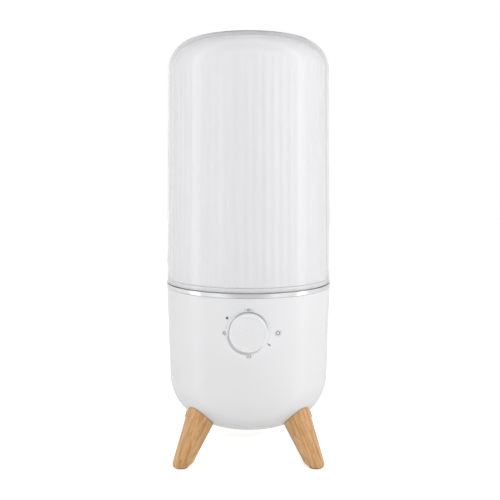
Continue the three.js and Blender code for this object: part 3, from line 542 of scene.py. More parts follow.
def placed(tree, attribute=None):
    if attribute:
        return addNode(tree, "ShaderNodeAttribute", {"attribute_name": attribute}).outputs["Vector"]
    return addNode(tree, "ShaderNodeTexCoord").outputs["Object"]


def effect(tree, group, values):
    return addNode(tree, "ShaderNodeGroup", {"node_tree": group}, values).outputs


def edgeWearAndShade(tree, vector, base, values):
    return effect(tree, wearShadeAndDust, {
        "Vector": vector, "Colour": base["Colour"], "Roughness": base["Roughness"], **values})


def bumped(tree, shader, height, depth, strength=0.4):
    # depth in millimetres
    bump = addNode(tree, "ShaderNodeBump", values={
        "Strength": strength, "Distance": depth * mm, "Height": height})
    tree.links.new(bump.outputs[0], shader.inputs["Normal"])


def coloured(tree, shader, made):
    tree.links.new(made["Colour"], shader.inputs["Base Color"])
    tree.links.new(made["Roughness"], shader.inputs["Roughness"])


def tinted(colour, share=1.0):
    return tuple(channel * share for channel in colour) + (1,)


def plasticFinish(name, look):
    finish, tree, shader = newFinish(name, look.get("plain", {}))
    vector = placed(tree)
    base = effect(tree, moulded, {
        "Vector": vector, "Colour": tinted(look["colour"]),
        "Shade": tinted(look["colour"], look["drift"]),
        "Grain Scale": look["grain"], "Smoothest": look["rough"][0], "Roughest": look["rough"][1]})
    coloured(tree, shader, edgeWearAndShade(tree, vector, base, {
        "Rubbed": tinted(look["colour"], look.get("edgeWearAndShade", 1.05)),
        "Edge Amount": look.get("edge", 0.4), "Dust Amount": look.get("dust", 0.04)}))
    bumped(tree, shader, base["Height"], look["bump"])
    return finish


def metalFinish(name, look):
    finish, tree, shader = newFinish(name, {"Metallic": 1.0, **look.get("plain", {})})
    base = effect(tree, worked, {
        "Vector": placed(tree), "Colour": tinted(look["colour"]),
        "Shade": tinted(look["colour"], look["drift"]),
        "Stretch": look["stretch"], "Smoothest": look["rough"][0], "Roughest": look["rough"][1]})
    coloured(tree, shader, base)
    bumped(tree, shader, base["Height"], look["bump"], 0.25)
    return finish


def woodFinish(name, look):
    finish, tree, shader = newFinish(name, look["plain"])
    vector = placed(tree, "grainPlace")
    base = effect(tree, grained, {
        "Vector": vector, "Pale": tinted(look["pale"]), "Dark": tinted(look["dark"]),
        "Pore": tinted(look["pore"]), "Ring Width": look["ringWidth"],
        "Smoothest": look["rough"][0], "Roughest": look["rough"][1]})
    # the wood's edges are painted darker: painted shade along the legs' edges, laid on the patchy edge
    # mask
    coloured(tree, shader, edgeWearAndShade(tree, vector, base, {
        "Rubbed": tinted(look["dark"]), "Edge Amount": 0.5, "Dust Amount": 0.0}))
    bumped(tree, shader, base["Height"], look["bump"], 0.5)
    return finish


def clearFinish(name, look):
    # clear moulding: slow waviness and faint haze, and it lets lamps through
    finish, tree, shader = newFinish(name, {
        "Base Color": tinted(look["colour"]), "Transmission Weight": 1.0, "IOR": look["ior"]})
    vector = placed(tree)
    wave = noise(tree, vector, look["waveScale"], 2.0, 0.5)
    haze = noise(tree, vector, 160.0, 4.0, 0.6)
    rough = spread(tree, haze, 0.35, 0.75, *look["rough"])
    tree.links.new(rough, shader.inputs["Roughness"])
    bumped(tree, shader, wave, look["bump"], 0.3)
    path = addNode(tree, "ShaderNodeLightPath")
    passing = maths(tree, "MAXIMUM", path.outputs["Is Shadow Ray"], path.outputs["Is Diffuse Ray"])
    clear = addNode(tree, "ShaderNodeBsdfTransparent")
    clear.inputs[0].default_value = tinted(look["passed"])
    mix = addNode(tree, "ShaderNodeMixShader", values={
        0: passing, 1: shader.outputs[0], 2: clear.outputs[0]})
    tree.links.new(mix.outputs[0], tree.get_output_node("ALL").inputs["Surface"])
    return finish


finishes = {
    "white_plastic": plasticFinish("glossWhitePlastic", {
        "colour": (0.765, 0.765, 0.775), "drift": 0.985, "grain": 2600.0, "rough": (0.20, 0.27),
        "bump": 0.012, "edge": 0.2, "edgeWearAndShade": 1.02,
        "plain": {"Coat Weight": 0.25, "Coat Roughness": 0.08}}),
    "liner_plastic": plasticFinish("milkyLiner", {
        "colour": (0.805, 0.802, 0.812), "drift": 0.985, "grain": 1800.0, "rough": (0.34, 0.48),
        "bump": 0.02,
        "plain": {"Subsurface Weight": 0.12, "Subsurface Scale": 0.004,
                  "Subsurface Radius": (1.0, 1.0, 1.0)}}),
    "clear_plastic": clearFinish("clearTankPlastic", {
        "colour": (0.99, 0.989, 0.993), "ior": 1.49, "waveScale": 28.0, "rough": (0.0, 0.03),
        "bump": 0.25, "passed": (0.975, 0.974, 0.98)}),
    "chrome": metalFinish("brightTrim", {
        "colour": (0.86, 0.86, 0.87), "drift": 0.96, "stretch": (60.0, 60.0, 2400.0),
        "rough": (0.04, 0.12), "bump": 0.004}),
    "wood": woodFinish("paleOak", {
        "pale": (0.71, 0.425, 0.195), "dark": (0.41, 0.195, 0.068),
        "pore": (0.24, 0.10, 0.03), "ringWidth": 3.4 * mm, "rough": (0.34, 0.52),
        "bump": 0.06, "plain": {"Coat Weight": 0.15, "Coat Roughness": 0.25}}),
    "foot_rubber": plasticFinish("softFootPad", {
        "colour": (0.26, 0.18, 0.12), "drift": 0.8, "grain": 1500.0, "rough": (0.75, 0.92),
        "bump": 0.12, "dust": 0.15}),
    "silicone": plasticFinish("milkySilicone", {
        "colour": (0.72, 0.745, 0.75), "drift": 0.93, "grain": 1400.0, "rough": (0.45, 0.62),
        "bump": 0.04, "dust": 0.1,
        "plain": {"Subsurface Weight": 0.2, "Subsurface Scale": 0.002}}),
    "steel": metalFinish("zincedSteel", {
        "colour": (0.60, 0.61, 0.63), "drift": 0.72, "stretch": (900.0, 900.0, 900.0),
        "rough": (0.24, 0.46), "bump": 0.02}),
    "aluminium": metalFinish("castAluminium", {
        "colour": (0.72, 0.73, 0.74), "drift": 0.8, "stretch": (2600.0, 300.0, 300.0),
        "rough": (0.32, 0.55), "bump": 0.03}),
    "ceramic": plasticFinish("firedCeramic", {
        "colour": (0.72, 0.67, 0.55), "drift": 0.88, "grain": 3200.0, "rough": (0.4, 0.6), "bump": 0.03}),
    "circuit_board": plasticFinish("greenBoard", {
        "colour": (0.035, 0.16, 0.07), "drift": 0.6, "grain": 1200.0, "rough": (0.3, 0.5),
        "bump": 0.05, "edgeWearAndShade": 2.2, "dust": 0.12}),
    "black_plastic": plasticFinish("blackPlastic", {
        "colour": (0.022, 0.023, 0.025), "drift": 0.7, "grain": 1600.0, "rough": (0.34, 0.5),
        "bump": 0.05, "edgeWearAndShade": 2.0, "dust": 0.08}),
    "foam": plasticFinish("floatFoam", {
        "colour": (0.80, 0.79, 0.75), "drift": 0.86, "grain": 900.0, "rough": (0.8, 0.95), "bump": 0.25}),
    "magnet": metalFinish("ferriteMagnet", {
        "colour": (0.11, 0.11, 0.12), "drift": 0.7, "stretch": (1200.0, 1200.0, 1200.0),
        "rough": (0.45, 0.65), "bump": 0.03}),
    "lens": plasticFinish("frostedLens", {
        "colour": (0.82, 0.82, 0.77), "drift": 0.95, "grain": 2200.0, "rough": (0.16, 0.3), "bump": 0.02,
        "plain": {"Subsurface Weight": 0.35, "Subsurface Scale": 0.002}}),
    "dark_marks": plasticFinish("darkPrint", {
        "colour": (0.075, 0.078, 0.085), "drift": 0.8, "grain": 3000.0, "rough": (0.35, 0.5),
        "bump": 0.01}),
}
print("finishes ready:", len(finishes))

for row in frame["record"]["subparts"]:
    node = frame["nodes"][row["node"]]
    node.data.materials.clear()
    node.data.materials.append(finishes[row["material_slot"]])


def install(piece, body, slotName, *nodes):
    piece.data.materials.clear()
    piece.data.materials.append(finishes[slotName])
    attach(piece, body)
    if nodes:
        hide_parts(*nodes)
    return piece


# a lathed piece whose outline needs only its corners rounded
def turnedPiece(name, body, slotName, node, outline, segments, place, steps=4):
    return install(lathe(name, rounded(outline, steps), segments, place), body, slotName, node)


tank = {
    "wall": 3.4 * mm,
    "mouth": 20 * mm,
    "rimRounding": 0.2 * mm,
    "mouthRounding": 0.5 * mm,
    "segments": 256,
}
outer = formPoints(dome, 0, tank["mouth"], 12, 26, 10)
inner = formPoints(dome, tank["wall"], tank["mouth"], 12, 26, 10)[::-1]
outer[0] += (tank["mouthRounding"],)
inner[-1] += (tank["mouthRounding"],)
outer[-1] += (tank["rimRounding"],)
inner[0] += (tank["rimRounding"],)
tankShell = lathe("tank_shell_clear", rounded(outer + inner), tank["segments"], bodyAxis)
install(tankShell, "tank", "clear_plastic", "tank_shell")

liner = {
    "inset": 4.2 * mm,
    "wall": 1.8 * mm,
    "mouth": 16.5 * mm,
    "ribs": 60,
    "ribDepth": 0.75 * mm,
    "ribSharpness": 1.0,
    "stepsPerRib": 10,
    "fadeTop": 16 * mm,  # the ribs run out over this length below the dome
    "fadeBottom": 3 * mm,
}
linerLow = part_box("fluted_liner")[0]
linerForm = dict(dome, rimHeight=linerLow.z, rim=wallRadius(dome, linerLow.z))
linerOuter = formPoints(linerForm, liner["inset"], liner["mouth"], 10, 18, 14)
linerInner = formPoints(linerForm, liner["inset"] + liner["wall"], liner["mouth"], 10, 14, 6)[::-1]
shoulderStart = linerOuter[-15][1]


def ribFade(height):
    top = min(1.0, max(0.0, (shoulderStart + 10 * mm - height) / liner["fadeTop"]))
    bottom = min(1.0, max(0.0, (height - linerLow.z) / liner["fadeBottom"]))
    return top * top * (3 - 2 * top) * bottom


weights = [ribFade(height) for radius, height in linerOuter] + [0.0] * len(linerInner)
flutedLiner = lathe("fluted_liner_milky", linerOuter + linerInner,
                    liner["ribs"] * liner["stepsPerRib"], bodyAxis, weights)
flutedLiner = grown(flutedLiner, ribs, {
    "Ribs": liner["ribs"], "Depth": liner["ribDepth"], "Sharpness": liner["ribSharpness"],
    "Centre": (0, axisY, 0), "Finish": finishes["liner_plastic"]})
install(flutedLiner, "tank", "liner_plastic", "fluted_liner")

ring = {"width": 5.8 * mm, "edge": 0.2 * mm}
turnedPiece("trim_ring_bright", "base", "chrome", "trim_ring", [
    (ringHigh.x - ring["width"], ringLow.z, 0.3 * mm),
    (ringHigh.x, ringLow.z, ring["edge"]),
    (ringHigh.x, ringHigh.z, ring["edge"]),
    (ringHigh.x - ring["width"], ringHigh.z, 0.3 * mm),
], 256, bodyAxis, 6)
print("tank, liner and ring made")

collar = {"sleeve": 10.3 * mm, "bore": 9 * mm, "rim": 19.7 * mm, "seat": 14.3 * mm, "floor": 1.5 * mm}
collarLow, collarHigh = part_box("nozzle_collar")
collarUnder = dome["apex"] - 2.7 * mm
turnedPiece("nozzle_collar_white", "nozzle_collar", "white_plastic", "nozzle_collar", [
    (collar["bore"], collarLow.z, 0.4 * mm),
    (collar["sleeve"], collarLow.z, 0.4 * mm),
    (collar["sleeve"], collarUnder),
    (collar["rim"], collarUnder),
    (collar["rim"], collarHigh.z, 0.6 * mm),
    (collar["seat"], collarHigh.z, 0.3 * mm),
    (collar["seat"], collarUnder + collar["floor"]),
    (collar["bore"], collarUnder + collar["floor"], 0.2 * mm),
], 128, bodyAxis)

nozzle = {
    "radius": 14 * mm, "thickness": 2.2 * mm, "stem": 8.7 * mm, "stemWall": 1.3 * mm,
    "hole": 4.4 * mm, "tilt": math.radians(24), "grips": 36, "gripDepth": 0.25 * mm,
}
nozzleLow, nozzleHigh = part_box("mist_nozzle")
nozzleSeat = nozzleHigh.z - nozzle["thickness"]
nozzleOutline = rounded([
    (0, nozzleHigh.z - 0.45 * mm),
    (7.2 * mm, nozzleHigh.z - 0.3 * mm, 3.0 * mm),
    (9.4 * mm, nozzleHigh.z, 1.2 * mm),
    (nozzle["radius"], nozzleHigh.z, 0.9 * mm),
    (nozzle["radius"], nozzleSeat, 0.3 * mm),
    (nozzle["stem"], nozzleSeat),
    (nozzle["stem"], nozzleLow.z, 0.3 * mm),
    (nozzle["stem"] - nozzle["stemWall"], nozzleLow.z, 0.3 * mm),
    (nozzle["stem"] - nozzle["stemWall"], nozzleSeat),
    (0, nozzleSeat),
])
gripWeights = [1.0 if nozzle["radius"] - radius < 0.5 * mm else 0.0 for radius, height in nozzleOutline]
mistNozzle = lathe("mist_nozzle_white", nozzleOutline, nozzle["grips"] * 6, bodyAxis, gripWeights)
mistNozzle = grown(mistNozzle, ribs, {
    "Ribs": nozzle["grips"], "Depth": nozzle["gripDepth"], "Centre": (0, axisY, 0),
    "Finish": finishes["white_plastic"]})
holePlace = Matrix.Translation((0, axisY, nozzleSeat)) @ Matrix.Rotation(nozzle["tilt"], 4, "Y")
mistNozzle = withTool(mistNozzle, rod(nozzle["hole"], -nozzle["thickness"] / 2,
                                      nozzle["thickness"] * 3, holePlace))
install(mistNozzle, "mist_nozzle", "white_plastic", "mist_nozzle")

housing = {
    "wall": 2.6 * mm,
    "opening": 36.3 * mm,
    "rimRounding": 0.6 * mm,
    "ledgeInner": 28.5 * mm,
    "ledgeThickness": 4.2 * mm,
    "deckLedge": 2.6 * mm,
    "deckLedgeTop": 148.5 * mm,
    "dialSeat": 16.2 * mm,
    "dialPad": 19 * mm,
    "dialPadThickness": 3.4 * mm,
    "bush": 4.7 * mm,
    "ledgeMeet": 41.4 * mm,  # radius where the ledge meets the wall
    "segments": 256,
}
dialCentre = (knobLow.z + knobHigh.z) / 2
dialSeatY = knobHigh.y + 0.8 * mm  # the knob stands this far off its seat
bowlOuter = formPoints(bowl, 0, housing["opening"], 10, 26, 18)
bowlInner = formPoints(bowl, housing["wall"], 0, 10, 26, 18)
ledgeBottom = coverHigh.z + gap
ledgeTop = ledgeBottom + housing["ledgeThickness"]
inside = [point for point in bowlInner if point[1] > ledgeTop + 0.5 * mm][::-1]
innerAt = wallRadius(bowl, housing["deckLedgeTop"]) - housing["wall"]
deckLow = housing["deckLedgeTop"] - housing["deckLedge"]
rimPoint = bowlOuter[-1]
bowlOuter[-1] = (*rimPoint, housing["rimRounding"])
outline = bowlOuter + [
    (rimPoint[0] - housing["wall"], rimPoint[1], 0.5 * mm),
    (innerAt, housing["deckLedgeTop"]),
    (innerAt - housing["deckLedge"], housing["deckLedgeTop"]),
    (innerAt - housing["deckLedge"], deckLow),
    (innerAt - 0.1 * mm, deckLow - housing["deckLedge"]),
] + [point for point in inside if point[1] < deckLow - housing["deckLedge"]] + [
    (housing["ledgeMeet"], ledgeTop),
    (housing["ledgeInner"], ledgeTop),
    (housing["ledgeInner"], ledgeBottom),
    (housing["opening"], ledgeBottom),
]
baseHousing = lathe("base_housing_white", rounded(outline), housing["segments"], bodyAxis)
pad = rod(housing["dialPad"], -housing["dialPadThickness"], 1.2 * mm, forward(0, dialSeatY, dialCentre))
baseHousing = withTool(baseHousing, pad, "UNION")

indicator = {"radius": 1.0 * mm, "hole": 1.15 * mm, "depth": 7.5 * mm}
indicatorLow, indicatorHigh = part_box("indicator_lens")
indicatorX = (indicatorLow.x + indicatorHigh.x) / 2
indicatorZ = (indicatorLow.z + indicatorHigh.z) / 2
inletLow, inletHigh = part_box("power_inlet")
inletX, inletZ = (inletLow.x + inletHigh.x) / 2, (inletLow.z + inletHigh.z) / 2
inlet = {
    "nose": 4.4 * mm, "noseDepth": 4 * mm, "bore": 3 * mm, "body": 6.2 * mm, "bodyDepth": 11 * mm,
    "pin": 0.9 * mm, "depth": 10 * mm,
}
tools = [
    rod(housing["dialSeat"], 0, 30 * mm, forward(0, dialSeatY, dialCentre), 96),
    rod(housing["bush"], -10 * mm, 1 * mm, forward(0, dialSeatY, dialCentre)),
    rod(indicator["hole"], -12 * mm, 8 * mm, forward(indicatorX, indicatorLow.y, indicatorZ)),
    rod(inlet["nose"] + gap, -6 * mm, 6 * mm, backward(inletX, inletHigh.y, inletZ)),
]
baseHousing = withTool(baseHousing, tools[0])
baseHousing = withTool(baseHousing, joined("tools", tools[1:]))
install(baseHousing, "base", "white_plastic", "base_housing")

turnedPiece("power_inlet_black", "base", "black_plastic", "power_inlet", [
    (0, -inlet["bodyDepth"] - inlet["noseDepth"]),
    (inlet["body"], -inlet["bodyDepth"] - inlet["noseDepth"], 0.5 * mm),
    (inlet["body"], -inlet["noseDepth"], 0.3 * mm),
    (inlet["nose"], -inlet["noseDepth"]),
    (inlet["nose"], 0, 0.35 * mm),
    (inlet["bore"], 0, 0.35 * mm),
    (inlet["bore"], -inlet["depth"]),
    (inlet["pin"], -inlet["depth"]),
    (inlet["pin"], -inlet["pin"], 0.5 * mm),
    (0, -inlet["pin"]),
], 64, backward(inletX, inletHigh.y, inletZ))

# the indicator's face follows the curve it sits in
turnedPiece("indicator_lens_dark", "base", "dark_marks", "indicator_lens", [
    (0, -indicator["depth"]), (indicator["radius"], -indicator["depth"]),
    (indicator["radius"], 0, 0.25 * mm), (0, 0.05 * mm),
], 32, forward(indicatorX, indicatorLow.y, indicatorZ))

dial = {
    "radius": 16 * mm, "depth": 11.5 * mm, "edge": 1.3 * mm, "dish": 0.4 * mm, "rim": 2.0 * mm,
    "pocket": 8 * mm, "pocketDepth": 3.4 * mm, "bore": 3.3 * mm, "boreDepth": 8 * mm,
}
knobPlace = forward(0, knobHigh.y, dialCentre)
turnedPiece("knob_white", "knob", "white_plastic", "knob", [
    (0, dial["pocketDepth"] + dial["boreDepth"]),
    (dial["bore"], dial["pocketDepth"] + dial["boreDepth"]),
    (dial["bore"], dial["pocketDepth"]),
    (dial["pocket"], dial["pocketDepth"]),
    (dial["pocket"], 0, 0.3 * mm),
    (dial["radius"] - 0.25 * mm, 0, 0.4 * mm),
    (dial["radius"], dial["depth"], dial["edge"]),
    (dial["radius"] - dial["rim"], dial["depth"], 1.5 * mm),
    (dial["radius"] - dial["rim"] - 1.2 * mm, dial["depth"] - dial["dish"], 2.0 * mm),
    (0, dial["depth"] - dial["dish"] * 1.3),
], 160, knobPlace, 6)

marks = {
    "stroke": 0.46 * mm,
    "height": 0.06 * mm,
    "power": (0.0, 18.0 * mm),
    "powerRing": 0.95 * mm,
    "suns": [  # centre, radius, and how far out each ray starts and ends
        ((24.8 * mm, -2.7 * mm), 1.4 * mm, (2.0 * mm, 2.8 * mm)),
        ((-20.2 * mm, -2.3 * mm), 0.95 * mm, (1.45 * mm, 2.0 * mm)),
    ],
    "sunRays": 8,
    "mist": (0.25 * mm, -22.4 * mm),
    "dashes": [  # ends of each, in millimetres
        ((-18.6, -1.9), (-17.0, -2.2)), ((15.6, -10.8), (18.7, -13.3)),
        ((17.9, -11.4), (16.8, -12.9)), ((13.1, 11.5), (13.9, 12.4)),
    ],
}


def arc(centre, radius, start, end, steps=20):
    angles = [math.radians(start + (end - start) * i / steps) for i in range(steps + 1)]
    return [(centre[0] + radius * math.cos(a), centre[1] + radius * math.sin(a)) for a in angles]


def sun(centre, radius, reach):
    rays = []
    for i in range(marks["sunRays"]):
        a = 2 * math.pi * i / marks["sunRays"]
        rays.append([(centre[0] + r * math.cos(a), centre[1] + r * math.sin(a)) for r in reach])
    return [arc(centre, radius, 0, 360)] + rays


def strokeMesh(lines, width):
    # each line becomes a thin closed ribbon that follows the housing's curve
    points, faces = [], []
    for line in lines:
        first = len(points)
        for i, here in enumerate(line):
            before, after = line[max(i - 1, 0)], line[min(i + 1, len(line) - 1)]
            along = (Vector(after) - Vector(before)).normalized()
            across = Vector((-along.y, along.x)) * width / 2
            for side in (-1, 1):
                x, z = Vector(here) + across * side
                height = dialCentre + z
                reach = wallRadius(bowl, height)
                for lift in (-skin, marks["height"]):
                    y = axisY - math.sqrt((reach + lift) ** 2 - x ** 2)
                    points.append((x, y, height))
        last = first + 4 * (len(line) - 1)
        for k in range(first, last, 4):
            for a, b in ((0, 1), (1, 3), (3, 2), (2, 0)):
                faces.append((k + a, k + b, k + 4 + b, k + 4 + a))
        faces += [(first, first + 2, first + 3, first + 1), (last, last + 1, last + 3, last + 2)]
    return points, faces


px, pz = marks["power"]
lines = [arc((px, pz), marks["powerRing"], 125, 415), [(px, pz + 0.2 * mm), (px, pz + 1.3 * mm)]]
for side in (-1, 1):
    lines.append([(px + side * 1.8 * mm, pz), (px + side * 2.9 * mm, pz)])
for centre, radius, reach in marks["suns"]:
    lines += sun(centre, radius, reach)
mx, mz = marks["mist"]
for dx in (-1.5, 0.0, 1.5):
    lines.append([(mx + (dx + 0.25 * math.sin(t * 1.1)) * mm, mz + (t - 1.3) * 0.62 * mm)
                  for t in range(5)])
lines += [[(x * mm, z * mm) for x, z in dash] for dash in marks["dashes"]]
marksMesh = closedMesh("dial_marks", *strokeMesh(lines, marks["stroke"]))
install(newPiece("dial_marks", marksMesh), "base", "dark_marks")
print("housing, dial and marks made")

cover = {
    "radius": 36 * mm, "thickness": 2.4 * mm, "lip": 26.8 * mm, "slots": 10, "slotWidth": 2.2 * mm,
    "slotInner": 8 * mm, "slotOuter": 26 * mm, "screwCircle": 32.6 * mm, "screwHead": 2.9 * mm,
    "screwShank": 1.5 * mm, "screwHeadHeight": 1.4 * mm,
}


def bowlHeight(radius, inset=0.0):
    points = formPoints(bowl, inset)
    for low, high in zip(points, points[1:]):
        if low[0] <= radius <= high[0]:
            share = (radius - low[0]) / (high[0] - low[0])
            return low[1] + (high[1] - low[1]) * share


under = [(cover["radius"] * i / 8, bowlHeight(cover["radius"] * i / 8)) for i in range(9)]
above = [(cover["lip"] * i / 8, bowlHeight(cover["lip"] * i / 8, cover["thickness"])) for i in range(9)]
under[-1] += (0.4 * mm,)
coverPlate = lathe("bottom_cover_white", rounded(
    under + [(cover["radius"], coverHigh.z, 0.2 * mm), (cover["lip"] + cover["thickness"], coverHigh.z)]
    + above[::-1]), 128, bodyAxis)


def slotTool():
    # one slot with round ends, lying along X
    length = cover["slotOuter"] - cover["slotInner"]
    half, middle = cover["slotWidth"] / 2, (cover["slotOuter"] + cover["slotInner"]) / 2
    edge = []
    for end, turn in ((1, -90), (-1, 90)):
        for i in range(9):
            a = math.radians(turn + 180 * i / 8)
            edge.append((end * (length / 2 - half) + half * math.cos(a), half * math.sin(a)))
    count = len(edge)
    points = [(x, y, z) for z in (0.0, 12 * mm) for x, y in edge]
    faces = [tuple(range(count))[::-1], tuple(range(count, 2 * count))]
    faces += [(i, (i + 1) % count, count + (i + 1) % count, count + i) for i in range(count)]
    return newPiece("slot", closedMesh("slot", points, faces)), middle


slot, slotMiddle = slotTool()
slots = copiesRound("slots", slot, {
    "Count": cover["slots"], "Radius": slotMiddle, "Start": math.pi / cover["slots"],
    "Height": coverLow.z - past})
coverPlate = withTool(coverPlate, slots)
screwSeat = bowlHeight(cover["screwCircle"]) + gap
headTop = screwSeat + cover["screwHeadHeight"]
headWell, shankWell = cover["screwHead"] + gap, cover["screwShank"] + gap
wells = lathe("well", [
    (0, coverLow.z - past), (headWell, coverLow.z - past), (headWell, headTop + gap),
    (shankWell, headTop + gap), (shankWell, coverHigh.z + past), (0, coverHigh.z + past)], 32)
coverPlate = withTool(coverPlate, copiesRound("wells", wells, {
    "Count": 4, "Radius": cover["screwCircle"]}))
install(coverPlate, "base", "white_plastic", "bottom_cover")


def crossScrew(head, shank, headHeight, low, high):
    # pan head facing down, with a cross recess
    screw = lathe("screw", rounded([
        (0, low), (head, low, headHeight * 0.55), (head, low + headHeight, 0.1 * mm),
        (shank, low + headHeight), (shank, high, 0.2 * mm), (0, high)], 5), 40)
    width, reach = head * 0.28, head * 1.2
    recess = [bar(reach, width, low - past, low + headHeight * 0.6, Matrix.Rotation(a, 4, "Z"))
              for a in (0, math.pi / 2)]
    for tool in recess:
        screw = withTool(screw, tool)
    return screw


def screwSet(name, screw, count, radius, nodes, seed=3):
    done = copiesRound(name, screw, {"Count": count, "Radius": radius, "Spin": 1.4, "Seed": seed})
    return install(done, "base", "steel", *nodes)


bottomLow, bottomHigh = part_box("bottom_screw_1")
screwSet("bottom_screws", crossScrew(
    cover["screwHead"], cover["screwShank"], cover["screwHeadHeight"], bottomLow.z, bottomHigh.z),
    4, cover["screwCircle"], [f"bottom_screw_{i}" for i in range(1, 5)])
clamp = {
    "circle": 16.6 * mm, "head": 2.4 * mm, "shank": 1.2 * mm, "headHeight": 1.4 * mm,
    "boss": 3 * mm, "bossDepth": 5.6 * mm, "pilot": 1.5 * mm, "pilotDepth": 8 * mm,
}
clampLow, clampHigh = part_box("clamp_screw_1")
screwSet("clamp_screws", crossScrew(
    clamp["head"], clamp["shank"], clamp["headHeight"], clampLow.z, clampHigh.z),
    2, clamp["circle"], ["clamp_screw_1", "clamp_screw_2"], seed=5)

corners = ["rear_right", "rear_left", "front_left", "front_right"]
leg = {
    "seatAngle": math.radians(45.2), "splay": math.radians(31), "top": 12.8 * mm, "foot": 7.9 * mm,
    "footRounding": 2.6 * mm, "floor": 1.2 * mm, "pilot": 2.3 * mm, "pilotDepth": 20.3 * mm,
    "padShift": 1.1 * mm, "segments": 72,
}
centreRadius, centreHeight = shoulderCentre(bowl)
seatX = centreRadius + bowl["shoulder"] * math.sin(leg["seatAngle"])
seatZ = centreHeight - bowl["shoulder"] * math.cos(leg["seatAngle"])
legLength = seatZ / math.cos(leg["splay"])
taper = (leg["top"] - leg["foot"]) / legLength
legTurn = Matrix.Translation((seatX, 0, seatZ)) @ Matrix.Rotation(-leg["splay"], 4, "Y")


def bowlDepth(point):
    # how far a point is outside the bowl's surface, with the gap taken off
    radius = math.hypot(point.x, point.y)
    if radius < centreRadius * bowl["crown"] / (bowl["crown"] - bowl["shoulder"]):
        gone = math.hypot(radius, point.z - bowl["apex"] - bowl["crown"]) - bowl["crown"]
    elif point.z < centreHeight:
        gone = math.hypot(radius - centreRadius, point.z - centreHeight) - bowl["shoulder"]
    else:
        gone = radius - wallRadius(bowl, point.z)
    return gone - gap


def onLeg(radius, angle, t):
    return Vector((radius * math.cos(angle), radius * math.sin(angle), t))


def halved(holds, low, high, times):
    # narrows the stretch from a place where the test holds to one where it doesn't
    for turn in range(times):
        t = (low + high) / 2
        low, high = (t, high) if holds(t) else (low, t)
    return low, high


def meetBowl(radiusAt, angle, steps=60):
    # highest place along the leg that is still outside the bowl
    def outside(t):
        return bowlDepth(legTurn @ onLeg(radiusAt(t), angle, t)) > 0

    low, high = -legLength * 0.7, leg["top"] * 1.6
    for i in range(steps):
        t = low + (high - low) * i / steps
        if not outside(t):
            low, high = t - (high - low) / steps, t
            break
    return halved(outside, low, high, 30)[0]


def coneRadius(t):
    return leg["top"] + t * taper


def footCut(radiusAt, angle):
    # where a line down the leg meets the level cut above the pad
    def under(t):
        return (legTurn @ onLeg(radiusAt(t), angle, t)).z <= leg["floor"]

    return halved(under, -legLength * 1.3, 0.0, 40)[1]


def legPiece(index):
    stand = bodyAxis @ Matrix.Rotation(math.pi / 4 + index * math.pi / 2, 4, "Z")
    points, local, rings = [], [], []

    def addRing(values):
        rings.append(range(len(points), len(points) + len(values)))
        for place in values:
            local.append(tuple(place))
            points.append(tuple(stand @ legTurn @ place))

    angles = [2 * math.pi * j / leg["segments"] for j in range(leg["segments"])]
    # pilot hole for the screw, then the saddle outwards
    addRing([onLeg(0, 0, -leg["pilotDepth"])])
    addRing([onLeg(leg["pilot"], a, -leg["pilotDepth"]) for a in angles])
    edge = 0.5 * mm
    for share in (0.0, 0.25, 0.5, 0.75, 1.0):
        ring = []
        for a in angles:
            top = meetBowl(lambda t: coneRadius(t) - edge, a)
            full = coneRadius(top) - edge
            radius = leg["pilot"] + (full - leg["pilot"]) * share
            ring.append(onLeg(radius, a, meetBowl(lambda t: radius, a)))
        addRing(ring)
    tops = [meetBowl(coneRadius, a) - edge * 0.8 for a in angles]
    feet = [footCut(coneRadius, a) for a in angles]
    rounding = leg["footRounding"]
    for i in range(15):
        heights = [top + (foot + rounding - top) * i / 14 for top, foot in zip(tops, feet)]
        addRing([onLeg(coneRadius(t), a, t) for a, t in zip(angles, heights)])
    for i in range(1, 7):
        turn = math.pi / 2 * i / 6
        pull, drop = rounding * (1 - math.cos(turn)), rounding * math.sin(turn)
        addRing([onLeg(coneRadius(foot) - pull, a, foot + rounding - drop)
                 for a, foot in zip(angles, feet)])
    for share in (0.66, 0.33):
        addRing([onLeg((coneRadius(foot) - rounding) * share, a,
                       footCut(lambda t, s=share, f=foot: (coneRadius(f) - rounding) * s, a))
                 for a, foot in zip(angles, feet)])
    addRing([onLeg(0, 0, footCut(lambda t: 0.0, 0.0))])
    name = "leg_" + corners[index] + "_oak"
    mesh = closedMesh(name, points, ringFaces(rings))
    # level the foot: nothing of the leg lies under the cut
    for vertex in mesh.vertices:
        vertex.co.z = max(vertex.co.z, leg["floor"])
    grain = mesh.attributes.new("grainPlace", "FLOAT_VECTOR", "POINT")
    chance = random.Random(11 + index)
    shift = [chance.uniform(-0.01, 0.01), chance.uniform(-0.01, 0.01), chance.uniform(0, 0.5)]
    values = [axis + move for place in local for axis, move in zip(place, shift)]
    grain.data.foreach_set("vector", values)
    softEdges(mesh, 40)
    return install(newPiece(name, mesh), "base", "wood", "leg_" + corners[index])


for index in range(4):
    legPiece(index)

padLow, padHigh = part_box("foot_pad_front_left")
padRadius = (padHigh.x - padLow.x) / 2
padMiddle = (padLow + padHigh) / 2
padCircle = math.hypot(padMiddle.x, padMiddle.y - axisY) + leg["padShift"]
padShape = lathe("pad", rounded([
    (0, padLow.z), (padRadius, padLow.z, 0.5 * mm), (padRadius, padHigh.z, 0.2 * mm), (0, padHigh.z),
]), 48)
pads = copiesRound("foot_pads", padShape, {"Count": 4, "Radius": padCircle, "Start": math.pi / 4})
install(pads, "base", "foot_rubber", *["foot_pad_" + corner for corner in corners])
print("cover, screws and legs made")

